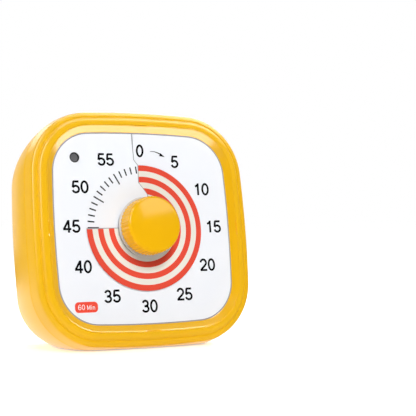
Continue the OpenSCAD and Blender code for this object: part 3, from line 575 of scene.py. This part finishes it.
# The same front from the inside, back towards the seam
COVER_FRONT_INSIDE = [(COVER_REACH - COVER_T, -3.4), (6.3, -1.2), (5.6, -0.75), (5.6, 0.75)]
# Round lip of the opening in the back as [outwards from the opening, forwards from the back]
BACK_LIP = [(0.4, 0.1), (0.1, 0.25), (0, 0.55), (0, COVER_T)]
SIDE_ANGLE = math.degrees(math.asin((SIDE_END - CREASE_DEPTH) / SIDE_CURVE_R))
SIDE_END_OFFSET = COVER_REACH - SIDE_CURVE_R * (1 - math.cos(math.radians(SIDE_ANGLE)))


def side_arc(inset, count):
    """The curved side, from the crease back, at an inset from the cover's outside."""
    middle = (COVER_REACH - SIDE_CURVE_R, -CREASE_DEPTH)
    radius = SIDE_CURVE_R - inset
    return arc(middle, (radius, radius), 0, -SIDE_ANGLE, count)


def back_arc(inset, count):
    """The round edge from the side into the back."""
    turn = math.radians(SIDE_ANGLE)
    middle = (SIDE_END_OFFSET - BACK_EDGE_R * math.cos(turn), BACK_EDGE_R * math.sin(turn) - SIDE_END)
    radius = BACK_EDGE_R - inset
    return arc(middle, (radius, radius), -SIDE_ANGLE, -90, count)[1:]


def make_cover():
    """The soft cover, one shell that is open in front and behind."""
    lip = [(BACK_OPENING - DIAL_HALF + x, z - BACK_DEPTH) for x, z in BACK_LIP]
    walls = np.concatenate([side_arc(COVER_T, 12), back_arc(COVER_T, 8)])[::-1]
    outside = [soften(COVER_FRONT), CREASE, side_arc(0, 26)[1:], back_arc(0, 16), lip[:-1]]
    inside = [lip[-1:], walls, COVER_FRONT_INSIDE]
    points = np.concatenate([
        rested(place(swept(np.concatenate(profile), SINK)), level * MM, REST_BLEND * MM)
        for profile, level in ((outside, 0), (inside, BASE_T))])
    rows = len(points) // len(BASE)
    return piece("soft_cover", points, grid_faces(rows, len(BASE), True, True), ["yellow_silicone"],
                 "case", ["silicone_cover"], placed=True)


# The bezel's sloping inner face, from the dial up to its crest, and the rest of its profile
BEZEL_FACE = [(0, 0.03), (0, 0.2), (1.0, 0.81), (1.9, 1.36), (2.25, 1.56), (2.5, 1.66), (2.74, 1.67),
              (2.74, 1.6), (2.74, 0.9)]
BEZEL_REST = [(2.74, 0.65), (5.45, 0.65), (5.45, -1.1), (4.3, -1.1), (4.3, -5), (2.3, -5),
              (2.3, 0.03)]
# The pry notches: half their length, the ease at each end, their inner edge and their floor
NOTCH_HALF = 2.5
NOTCH_EASE = 1.2
NOTCH_INSIDE = 2.25
NOTCH_FLOOR = 1.38
# A grey line of painted shade round the dial, for the shadow gap at the bezel. It reaches a little
# under the bezel
EDGE_SHADE_W = 0.48
EDGE_SHADE = [(-EDGE_SHADE_W, -0.05), (-EDGE_SHADE_W, 0.02), (0.03, 0.02), (0.03, -0.05)]


def make_bezel():
    """The bezel, with a pry notch in its crest at the middle of each side."""
    face = soften(BEZEL_FACE)
    points = swept(np.concatenate([face, BEZEL_REST]))
    crest = np.zeros((len(points), 1), bool)
    crest[:len(face), 0] = face[:, 0] >= NOTCH_INSIDE
    depth = eased(np.clip((NOTCH_HALF - FROM_MIDDLE) / NOTCH_EASE + 0.5, 0, 1))
    height = points[..., 2]
    lowered = height + (NOTCH_FLOOR - height) * depth
    points[..., 2] = np.where(crest & (height > NOTCH_FLOOR), lowered, height)
    return piece("bezel", points.reshape(-1, 3), grid_faces(len(points), len(BASE), True, True),
                 ["yellow_plastic"], "case", ["front_bezel"])


def make_edge_line():
    """Thin grey line of painted shade where the dial meets the bezel, for the shadow in the gap."""
    points = swept(EDGE_SHADE)
    return piece("edge_shade", points.reshape(-1, 3), grid_faces(len(points), len(BASE), True, True),
                 ["shade_line_ink"], "case")


# ---------------------------------------------------------------- dial, a ramp with a slit

# Spacing of the dial's rings of points between the slit's kinks, and the rings past the ramp
RING_STEPS = (0.925, 0.46, 0.67, 0.25, 0.54)
OUTER_RINGS = 8
DIAL_ROWS = 361


def slit_angle(r):
    """Clockwise angle of the slit's middle at a radius."""
    x = np.interp(r, [p[0] for p in SLIT_KINKS], [p[1] for p in SLIT_KINKS])
    return np.degrees(np.arcsin(x / r))


def round_angle(r, share):
    """Clockwise angle at a share of the way round from one side of the slit to the other."""
    gap = 2 * np.degrees(np.arcsin(SLIT_W / 2 / r))
    return slit_angle(r) + gap / 2 + (360 - gap) * share


def lift(angle, r):
    """Height of the dial's face at a clockwise angle and radius."""
    t = np.clip((r - RAMP_FULL_R) / (RAMP_FLAT_R - RAMP_FULL_R), 0, 1)
    return RAMP_RISE * (angle / 360 - 0.5) * (1 - eased(t))


def clockwise(angle, r, z):
    """Points at clockwise angles from the top, radii and heights."""
    angle, r, z = np.broadcast_arrays(np.radians(angle), r, z)
    return np.stack([r * np.sin(angle), r * np.cos(angle), z], -1)


def edge_distance(angle):
    """Distance from the middle to the dial plate's edge along a clockwise angle."""
    s, c = abs(np.sin(np.radians(angle))), abs(np.cos(np.radians(angle)))
    half, r = DIAL_HALF + PLATE_MARGIN, PLATE_CORNER_R + PLATE_MARGIN
    k = half - r
    straight = half / np.maximum(s, c)
    b = k * (s + c)
    return np.where(straight * np.minimum(s, c) <= k, straight,
                    b + np.sqrt(np.maximum(0, b * b - 2 * k * k + r * r)))


def dial_height(x, y):
    """Height of the dial's face under a point."""
    r = np.hypot(x, y)
    angle = np.degrees(np.arctan2(x, y))
    angle = angle - 360 * np.floor((angle - slit_angle(r)) / 360)
    return lift(angle, r)


def sheet(tops, thickness):
    """Closed sheet under a grid of top points. Returns points and faces."""
    rows, columns = tops.shape[:2]
    upper = tops.reshape(-1, 3)
    lower = upper - [0, 0, thickness]
    count = rows * columns
    faces = grid_faces(rows, columns)
    faces += [[i + count for i in face[::-1]] for face in faces]
    loop = list(range(columns)) + [i * columns + columns - 1 for i in range(1, rows)]
    loop += [(rows - 1) * columns + j for j in range(columns - 2, -1, -1)]
    loop += [i * columns for i in range(rows - 2, 0, -1)]
    faces += [[a, b, b + count, a + count] for a, b in zip(loop, loop[1:] + loop[:1])]
    return np.concatenate([upper, lower]), faces


def dial_radii():
    """Radii of the dial's rings of points out to the end of the ramp."""
    kinks = [r for r, _ in SLIT_KINKS[:-1]] + [RAMP_FLAT_R]
    rings = [np.arange(low, high, step) for low, high, step in zip(kinks, kinks[1:], RING_STEPS)]
    return np.concatenate([*rings, [RAMP_FLAT_R]])


def drill(target, at, r, reach=2):
    """Cuts a round hole through a piece."""
    points, faces = turned([(r, -reach), (r, reach), (0, reach), (0, -reach)], at)
    mesh = bpy.data.meshes.new("drill")
    mesh.from_pydata(place(points).tolist(), [], faces)
    cutter = bpy.data.objects.new("drill", mesh)
    bpy.context.scene.collection.objects.link(cutter)
    hole = target.modifiers.new("hole", "BOOLEAN")
    hole.operation = "DIFFERENCE"
    hole.object = cutter
    bpy.context.view_layer.update()
    evaluated = target.evaluated_get(bpy.context.evaluated_depsgraph_get())
    cut = bpy.data.meshes.new_from_object(evaluated)
    target.modifiers.clear()
    target.data = cut
    bpy.data.objects.remove(cutter)


def make_dial():
    """The dial's sheet: one turn of a shallow ramp, flat towards its edge."""
    radii = dial_radii()
    past = np.linspace(0, 1, OUTER_RINGS + 1)[1:]
    tops = []
    for i in range(DIAL_ROWS):
        share = i / (DIAL_ROWS - 1)
        angle = round_angle(radii, share)
        ramp = clockwise(angle, radii, lift(angle, radii))
        turn = slit_angle(RAMP_FLAT_R) + 360 * share
        far = RAMP_FLAT_R + (edge_distance(turn) - RAMP_FLAT_R) * past
        angle = round_angle(far, share)
        margin = clockwise(angle, np.minimum(far, edge_distance(angle)), 0.0)
        tops.append(np.concatenate([ramp, margin]))
    points, faces = sheet(np.array(tops), SHEET_T)
    dial = piece("dial", points, faces, ["dial_sheet"], "case", ["dial_plate"])
    drill(dial, INDICATOR_AT, INDICATOR_HOLE_R)
    return dial


# ---------------------------------------------------------------- printed marks, and painted shade along the slit

# The pen's width, and each character's pen lines with x from its middle and y up from its foot, in
# heights of the character
PEN = 0.17
GLYPHS = {
    "0": [arc((0, 0.5), (0.2575, 0.4425), 84, 276, 24), arc((0, 0.5), (0.2575, 0.4425), -96, 96, 24)],
    "1": [[(0.08, 0), (0.08, 1)], [(0.12, 0.94), (-0.03, 0.8), (-0.17, 0.72)]],
    "2": [[*arc((0, 0.68), (0.25, 0.26), 176, -30, 16), (0.06, 0.37), (-0.16, 0.19), (-0.25, 0.03)],
          [(-0.32, 0.0625), (0.31, 0.0625)]],
    "3": [[*arc((-0.01, 0.715), (0.22, 0.2225), 165, -90, 18), (-0.1, 0.4925)],
          arc((-0.01, 0.285), (0.255, 0.2275), 95, -165, 24)],
    "4": [[(0.13, 0), (0.13, 1)], [(0.13, 0.97), (-0.29, 0.27)], [(-0.34, 0.28), (0.33, 0.28)]],
    "5": [[(-0.2, 0.9375), (0.27, 0.9375)], [(-0.17, 0.96), (-0.24, 0.46)],
          arc((0, 0.32), (0.265, 0.265), 152, -165, 22)],
    "6": [arc((0, 0.31), (0.255, 0.25), 84, 276, 20), arc((0, 0.31), (0.255, 0.25), -96, 96, 20),
          arc((0.01, 0.5), (0.265, 0.4425), 42, 200, 20)],
    "M": [[(-0.34, 0), (-0.34, 1)], [(-0.32, 0.97), (0, 0.08)], [(0, 0.08), (0.32, 0.97)],
          [(0.34, 0), (0.34, 1)]],
    "i": [[(0, 0), (0, 0.72)], [(0, 0.86), (0, 1)]],
    "n": [[(-0.2, 0), (-0.2, 0.72)], [*arc((0, 0.46), (0.2, 0.2), 170, 0, 12), (0.2, 0)]],
    "O": [arc((0, 0.5), (0.36, 0.4425), 84, 276, 24), arc((0, 0.5), (0.36, 0.4425), -96, 96, 24)],
    "N": [[(-0.3, 0), (-0.3, 1)], [(-0.29, 0.97), (0.29, 0.03)], [(0.3, 0), (0.3, 1)]],
    "F": [[(-0.24, 0), (-0.24, 1)], [(-0.24, 0.9375), (0.3, 0.9375)], [(-0.24, 0.52), (0.24, 0.52)]],
}
# Width of each character with the space beside it, in heights too
ADVANCES = {"M": 0.98, "i": 0.38, "n": 0.7, "O": 0.98, "N": 0.9, "F": 0.8}
DIGIT_ADVANCE = 0.74
# The longest mitre at a corner of a stroke, in half widths of the pen
LONGEST_MITRE = 2


def stroke(line, width):
    """Outline of a pen stroke along a line. The width is one number or one for each point."""
    line = np.asarray(line, float)
    width = np.broadcast_to(width, len(line))[:, None]
    steps = line[1:] - line[:-1]
    steps /= np.linalg.norm(steps, axis=1)[:, None]
    before, after = np.concatenate([steps[:1], steps]), np.concatenate([steps, steps[-1:]])
    mean = before + after
    mean /= np.linalg.norm(mean, axis=1)[:, None]
    reach = np.maximum(1 / LONGEST_MITRE, (mean * after).sum(1))[:, None]
    normal = np.stack([-mean[:, 1], mean[:, 0]], 1) / reach * width / 2
    return np.concatenate([line - normal, (line + normal)[::-1]])


def lettering(text, height, middle=(0, 0), pen=PEN):
    """Stroke outlines of a line of text of that height, centred on the middle."""
    widths = [ADVANCES.get(c, DIGIT_ADVANCE) for c in text]
    at = -sum(widths) / 2
    shapes = []
    for letter, width in zip(text, widths):
        for line in GLYPHS[letter]:
            shape = stroke(line, pen) + [at + width / 2, -0.5]
            shapes.append(shape * height + middle)
        at += width
    return shapes


def filled(shapes, spacing):
    """Triangles over the union of flat outlines. Points in between let them follow a curve."""
    points, rings = [], []
    for shape in shapes:
        rings.append(list(range(len(points), len(points) + len(shape))))
        points += [Vector(p) for p in shape]
    if spacing:
        corners = np.concatenate(shapes)
        low, high = corners.min(0), corners.max(0)
        points += [Vector((x, y)) for x in np.arange(low[0] + spacing / 3, high[0], spacing)
                   for y in np.arange(low[1] + spacing / 3, high[1], spacing)]
    flat, _, faces, _, _, sources = delaunay_2d_cdt(points, [], rings, 1, 1e-6)
    return np.array([tuple(p) for p in flat]), [f for f, source in zip(faces, sources) if source]


def printed(name, groups, finish, stands_for=(), surface=dial_height, proud=INK_PROUD,
            sunk=INK_SUNK, spacing=0.6):
    """Ink, or a line of painted shade, that lies on a surface: a thin solid over each group of
    outlines. surface gives a point's height, and proud and sunk are how far it stands above and below
    it."""
    points, faces = [], []
    for shapes in groups:
        flat, triangles = filled(shapes, spacing)
        used = sorted({i for t in triangles for i in t})
        order = {old: new for new, old in enumerate(used)}
        triangles = [[order[i] for i in t] for t in triangles]
        start, count = len(points), len(used)
        for offset in (proud, -sunk):
            points += [(x, y, surface(x, y) + offset) for x, y in flat[used]]
        faces += [[i + start for i in t] for t in triangles]
        faces += [[i + start + count for i in t[::-1]] for t in triangles]
        edges = {(t[i], t[(i + 1) % 3]) for t in triangles for i in range(3)}
        faces += [[a + start, b + start, b + start + count, a + start + count]
                  for a, b in edges if (b, a) not in edges]
    return piece(name, points, faces, [finish], "case", stands_for)


DEGREES_A_MINUTE = 6
ARROW_LINE = [(4.5, 29.5), (6.2, 29.5), (7.8, 29), (9.2, 28.3)]
ARROW_PEN = (0.12, 0.5)
ARROW_HEAD = [(10.7, 27.45), (8.65, 29.1), (8.9, 28.35), (8.1, 27.85)]
# The badge's text: the height of each part, and its place from the badge's middle
BADGE_TEXT = (("60", 1.95, (-1.95, 0.05)), ("Min", 1.65, (1.75, -0.12)))
# Top and underside of its white ink, both above the dial. The underside is within the red ink
BADGE_TEXT_TOP = INK_PROUD + 0.02
BADGE_TEXT_FOOT = 0.01
# The words by the switch, and how far to the side of it each stands
SWITCH_WORDS = (("OFF", -3.4), ("ON", 3.6))
SWITCH_PEN = 0.14


def make_numerals():
    """Numerals every five minutes round the dial."""
    groups = []
    for minute in range(0, 60, 5):
        turn = DEGREES_A_MINUTE * minute
        angle = turn + NUMERAL_TURN + NUMERAL_SWAY * math.sin(math.radians(turn))
        x, y, _ = clockwise(angle, NUMERAL_RING_R, 0.0)
        groups.append(lettering(str(minute), NUMERAL_H, (x, y)))
    return printed("numerals", groups, "black_ink", ["dial_numerals"])


def make_ticks():
    """A mark for each minute, longer every fifth."""
    groups = []
    for minute in range(60):
        inner = LONG_TICK_R if minute % 5 == 0 else SHORT_TICK_R
        ends = clockwise(DEGREES_A_MINUTE * minute, np.array([inner, TICK_OUTER_R]), 0.0)[:, :2]
        groups.append([stroke(ends, TICK_W)])
    return printed("minute_ticks", groups, "grey_ink", ["minute_marks"], spacing=0)


def make_slit_line():
    """Thin grey line of painted shade along the raised side of the slit, for the shadow in its gap."""
    radii = np.linspace(SLIT_KINKS[0][0] + SLIT_SHADE_START, DIAL_HALF, 70)
    near, far = [slit_angle(radii) - np.degrees(np.arcsin((SLIT_W / 2 + w) / radii))
                 for w in (SLIT_SHADE_NEAR, SLIT_SHADE_FAR)]
    edge = np.concatenate([clockwise(near, radii, 0.0), clockwise(far, radii, 0.0)[::-1]])
    return printed("slit_line", [[edge[:, :2]]], "shade_line_ink", proud=SLIT_SHADE_PROUD,
                   spacing=0)


def make_arrow():
    """Arrow from the 0 towards the 5."""
    line = soften(ARROW_LINE, 2)
    shaft = stroke(line, np.linspace(*ARROW_PEN, len(line)))
    return printed("arrow", [[shaft, np.array(ARROW_HEAD)]], "black_ink", ["start_arrow"])


def make_badge():
    """Red pill with the timer's range in white. Returns the white lettering."""
    half = np.array(BADGE_SIZE) / 2 - BADGE_CORNER_R
    corners = [arc(BADGE_AT + half * (sx, sy), (BADGE_CORNER_R, BADGE_CORNER_R), turn, turn + 90, 12)
               for sx, sy, turn in ((1, 1, 0), (-1, 1, 90), (-1, -1, 180), (1, -1, 270))]
    printed("badge", [[np.concatenate(corners)]], "red_ink", ["range_badge"])
    groups = [lettering(text, height, np.add(BADGE_AT, offset), BADGE_PEN)
              for text, height, offset in BADGE_TEXT]
    return printed("badge_lettering", groups, "white_ink", proud=BADGE_TEXT_TOP,
                   sunk=-BADGE_TEXT_FOOT)


def make_switch_words():
    """ON and OFF beside the switch on the back panel, to be read from behind."""
    mirror = np.array([-1, 1])
    groups = []
    for word, offset in SWITCH_WORDS:
        middle = (-(SWITCH_AT[0] + offset), SWITCH_AT[1] + SWITCH_WORD_RISE)
        shapes = lettering(word, SWITCH_WORD_H, middle, SWITCH_PEN)
        groups.append([(shape * mirror)[::-1] for shape in shapes])
    printed("switch_words", groups, "white_ink", surface=lambda x, y: PANEL_BACK,
            proud=0.05, sunk=0.06, spacing=0)


# ---------------------------------------------------------------- disc, knob and indicator


def make_disc():
    """The disc: one turn of a ramp, striped in rings on top and cream underneath. Its rim is red,
    and a grey strip of painted shade lies along its leading edge, for the shade of its cut edge."""
    red, cream, grey = range(3)
    stripes = [DISC_R - STRIPE * i for i in range(STRIPES)]
    between = [r - STRIPE / 2 for r in stripes[:-1]]
    radii = sorted([DISC_HOLE_R, *DISC_INNER_RINGS, *stripes, *between])
    angles = np.linspace(DISC_LEAD - 360 + DISC_CUT, DISC_LEAD, DISC_ROWS)
    height = RAMP_RISE * (angles / 360 - 0.5) - SHEET_T / 2 + RAMP_RISE / 2 + DISC_T / 2
    points, faces = sheet(clockwise(angles[:, None], np.array(radii)[None], height[:, None]), DISC_T)
    middles = [(a + b) / 2 for a, b in zip(radii, radii[1:])]
    band = [cream if (DISC_R - m) // STRIPE % 2 else red for m in middles]
    slices = DISC_ROWS - 1
    # The last slice along the leading edge is grey, painted shade of the cut edge
    kinds = band * (slices - 1) + [grey] * len(band) + [cream] * (slices * len(band))
    kinds += [red] * (len(faces) - len(kinds))
    return piece("striped_disc", points, faces, ["disc_print", "disc_cream", "shade_line_ink"], "disc",
                 ["timer_disc"], kinds)


def make_collar():
    """Plain collar with a round front edge."""
    low, high = COLLAR_Z
    r = COLLAR_EDGE_R
    edge = arc((COLLAR_R - r, high - r), (r, r), 0, 90, 6)
    profile = [(COLLAR_HOLE_R, low), (COLLAR_R - 0.15, low), *edge, (COLLAR_HOLE_R, high)]
    points, faces = turned(profile, count=160)
    return piece("collar", points, faces, ["collar_plastic"], "knob", ["knob_collar"])


def make_knob():
    """Ridges round the side that fade out under the round front edge, and a slightly domed
    front. Underneath is a hollow round the boss that takes the shaft."""
    low = COLLAR_Z[1] + 0.02
    edge_low = KNOB_TOP - KNOB_EDGE_R
    dome_r = KNOB_R - KNOB_EDGE_R
    edge = arc((dome_r, edge_low), (KNOB_EDGE_R, KNOB_EDGE_R), 0, 84, 14)
    dome = [(r, KNOB_TOP + KNOB_DOME * (1 - (r / dome_r) ** 2)) for r in np.linspace(dome_r, 0, 16)]
    heights = np.linspace(low + 0.3, edge_low - 0.1, 12)
    side = [(KNOB_BASE_R - 0.25, low), (KNOB_BASE_R - 0.07, low + 0.07)]
    side += list(zip(np.interp(heights, [low, edge_low], [KNOB_BASE_R, KNOB_R]), heights))
    (boss_r, wall_r), (boss_end_r, wall_end_r) = HOLLOW_R
    hollow = [(0, BORE_END), (BORE_R, BORE_END), (BORE_R, low), (boss_r, low),
              (boss_end_r, HOLLOW_END), (wall_end_r, HOLLOW_END), (wall_r, low)]
    profile = np.array([*hollow, *side, *edge, *dome])
    turn = np.linspace(0, 2 * math.pi, KNOB_RIDGES * 12, endpoint=False)
    valley = (1 - np.cos(turn * KNOB_RIDGES)) / 2
    fade = eased(np.clip((edge_low + RIDGE_FADE - profile[:, 1]) / RIDGE_FADE, 0, 1))
    fade[:len(hollow)] = 0
    fade[profile[:, 0] < dome_r] = 0
    radius = profile[:, :1] - RIDGE_DEPTH * fade[:, None] * valley
    points = np.stack([radius * np.cos(turn), radius * np.sin(turn),
                       np.broadcast_to(profile[:, 1:], radius.shape)], -1)
    return piece("grip_knob", points.reshape(-1, 3), grid_faces(len(profile), len(turn), False, True),
                 ["knob_plastic"], "knob", ["knob"], sharp=50)


def make_indicator():
    """Dished lens in a rim painted dark for the shade in its recess, with a plug behind it."""
    dish = [(0, -0.62), (0.5, -0.61), (0.95, -0.57), (1.3, -0.5)]
    wall = [(1.45, -0.42), (1.6, -0.2), (1.68, -0.08), (1.76, -0.05), (1.9, -0.06)]
    plug = [(1.9, -0.5), (2.7, -0.5), (2.7, -2), (0, -2)]
    count = 72
    points, faces = turned([*dish, *wall, *plug], INDICATOR_AT, count)
    # The wall and plug take the near-black finish, painted shade of the recess
    kinds = [0] * (len(dish) * count)
    kinds += [1] * (len(faces) - len(kinds))
    return piece("indicator", points, faces, ["smoked_lens", "recess_shade"], "case",
                 ["indicator_lens"], kinds)


# ---------------------------------------------------------------- studio, in metres

BOX_DISTANCE = 0.8
CARD_DISTANCE = 0.6
FLOOR_LIGHT_Z = 0.0002
FLOOR_HALF = 6.0
# The floor's glow under the timer and far from it, and the distances between which it changes
FLOOR_NEAR = 0.45
FLOOR_FAR = 1.0
GLOW_REACH = (0.15, 0.7)
# The even glow of the unseen floor that lights the timer from below, and how much lower it lies
BOUNCE = 0.1
BOUNCE_DROP = 0.0005


def make_light(name, size, power, glossy, only=(), but=()):
    """An area light, either a reflector card that only shows in glossy surfaces, or a soft box
    that lights and doesn't show. It reaches all pieces, or only some, or all but some."""
    lamp = bpy.data.lights.new(name, "AREA")
    lamp.shape = "RECTANGLE"
    lamp.size, lamp.size_y = size
    lamp.energy = power
    made = bpy.data.objects.new(name, lamp)
    made.visible_diffuse = not glossy
    made.visible_glossy = glossy
    bpy.context.scene.collection.objects.link(made)
    if only or but:
        reached = bpy.data.collections.new(name)
        for one in only or but:
            reached.objects.link(one)
        for entry in reached.collection_objects:
            entry.light_linking.link_state = "INCLUDE" if only else "EXCLUDE"
        made.light_linking.receiver_collection = reached
    return made


def aim(light, direction, distance):
    """Turns a light to the timer from a direction of azimuth and elevation in degrees, azimuth 0
    being straight in front and positive to the right."""
    azimuth, elevation = (math.radians(a) for a in direction)
    away = Vector((math.sin(azimuth) * math.cos(elevation),
                   -math.cos(azimuth) * math.cos(elevation), math.sin(elevation)))
    light.location = Vector(CENTRE) + away * distance
    light.rotation_euler = away.to_track_quat("Z", "Y").to_euler()


def lay(light, place_at):
    """Lays a light on the floor, face up, where the camera doesn't see it."""
    light.location = (*place_at, FLOOR_LIGHT_Z)
    light.rotation_euler = (math.pi, 0, 0)
    light.visible_camera = False


def soft_box(name, direction, size, power, **reach):
    """A soft box that faces the timer from a direction."""
    aim(make_light(name, size, power, False, **reach), direction, BOX_DISTANCE)


def card(name, direction, size, power, **reach):
    """A reflector card that faces the timer from a direction."""
    aim(make_light(name, size, power, True, **reach), direction, CARD_DISTANCE)


def floor_box(name, place_at, size, power, **reach):
    """A soft box on the floor."""
    lay(make_light(name, size, power, False, **reach), place_at)


def floor_card(name, place_at, size, power, **reach):
    """A reflector card on the floor."""
    lay(make_light(name, size, power, True, **reach), place_at)


def make_floor(name, height, near, far, seen):
    """Pale floor that glows from near to far, either seen by the camera or lighting the timer."""
    made = Finish(name, Emission_Strength=1.0, Specular_IOR_Level=0.2)
    made.tint(made.noise(60.0), shade("#f4f4f4"), shade("#f1f1f1"))
    share = made.vector("LENGTH", made.place(), (0, 0, 0), 1).step(*GLOW_REACH)
    glow = made.mix(share, (near, near, near, 1), (far, far, far, 1))
    made.feed(made.shader.inputs["Emission Color"], glow)
    made.rough(0.5, 0.05, 30.0)
    corners = [(x * FLOOR_HALF, y * FLOOR_HALF, height) for x, y in ((-1, -1), (1, -1), (1, 1), (-1, 1))]
    mesh = bpy.data.meshes.new(name)
    mesh.from_pydata(corners, [], [(0, 1, 2, 3)])
    mesh.materials.append(made.material)
    floor = bpy.data.objects.new(name, mesh)
    bpy.context.scene.collection.objects.link(floor)
    floor.visible_camera = seen
    floor.visible_diffuse = not seen
    floor.visible_shadow = not seen
    floor.visible_glossy = False


def make_sky():
    """White surroundings that only the camera sees. The soft boxes give the light."""
    world = bpy.data.worlds.new("studio")
    world.use_nodes = True
    background = world.node_tree.nodes["Background"]
    background.inputs["Color"].default_value = (1, 1, 1, 1)
    background.inputs["Strength"].default_value = 1.0
    world.cycles_visibility.glossy = False
    world.cycles_visibility.diffuse = False
    bpy.context.scene.world = world


def make_studio(cover, bezel, knob, face):
    """Floor, surroundings and lights. The dial's face has a soft box of its own, and most cards
    reach only the piece whose highlight they make."""
    make_floor("floor", 0, FLOOR_NEAR, FLOOR_FAR, True)
    make_floor("floor_bounce", -BOUNCE_DROP, BOUNCE, BOUNCE, False)
    make_sky()

    soft_box("front_box", (-13, 36), (0.24, 0.22), 2.7)
    soft_box("left_high_box", (-35, 49), (0.3, 0.3), 0.8, but=face)
    soft_box("left_box", (-60, 18), (0.3, 0.3), 1.15, but=face)
    soft_box("right_high_box", (40, 60), (0.3, 0.3), 0.8, but=face)
    soft_box("right_box", (75, 20), (0.4, 0.4), 1.0, but=face)
    soft_box("rear_box", (-150, 14), (0.4, 0.4), 5.5, but=face)
    soft_box("rear_right_box", (115, 25), (0.4, 0.4), 3.2, but=face)
    floor_box("floor_box", (-0.04, -0.04), (0.4, 0.3), 0.1, but=face)
    soft_box("face_box", (2, 44), (0.24, 0.22), 2.66, only=face)
    soft_box("knob_box", (-80, 15), (0.24, 0.22), 0.9, only=[knob])

    card("top_card", (0, 86), (0.3, 0.3), 2.4)
    card("rear_card", (-172, 34), (0.3, 0.3), 0.9)
    card("rear_low_card", (178, 6), (0.3, 0.2), 0.15)
    card("rear_right_card", (147, 22), (0.3, 0.45), 2.2)
    card("ring_card", (78, 54), (0.46, 0.4), 5.0, only=[cover])
    card("knob_card", (38, 34), (0.34, 0.31), 1.65, only=[knob])
    card("upper_card", (38, 47), (0.34, 0.08), 0.8, only=[knob])
    card("rim_card", (-58, 36), (0.08, 0.5), 4.2, only=[knob])
    card("left_card", (-58, 36), (0.08, 0.5), 3.2, only=[cover])
    card("crest_card", (46, 38), (0.2, 0.2), 1.9, only=[bezel])
    floor_card("floor_card", (0.24, -0.12), (0.48, 0.2), 1.9, only=[bezel])
    floor_card("rear_floor_card", (-0.17, 0.13), (0.4, 0.3), 0.45)
    bpy.context.scene.view_settings.view_transform = "Standard"


cover = make_cover()
bezel = make_bezel()
knob = make_knob()
face = [make_dial(), make_disc(), make_collar(), make_edge_line(), make_numerals(), make_ticks(),
        make_slit_line(), make_arrow(), make_badge()]
make_switch_words()
make_indicator()
make_studio(cover, bezel, knob, face)
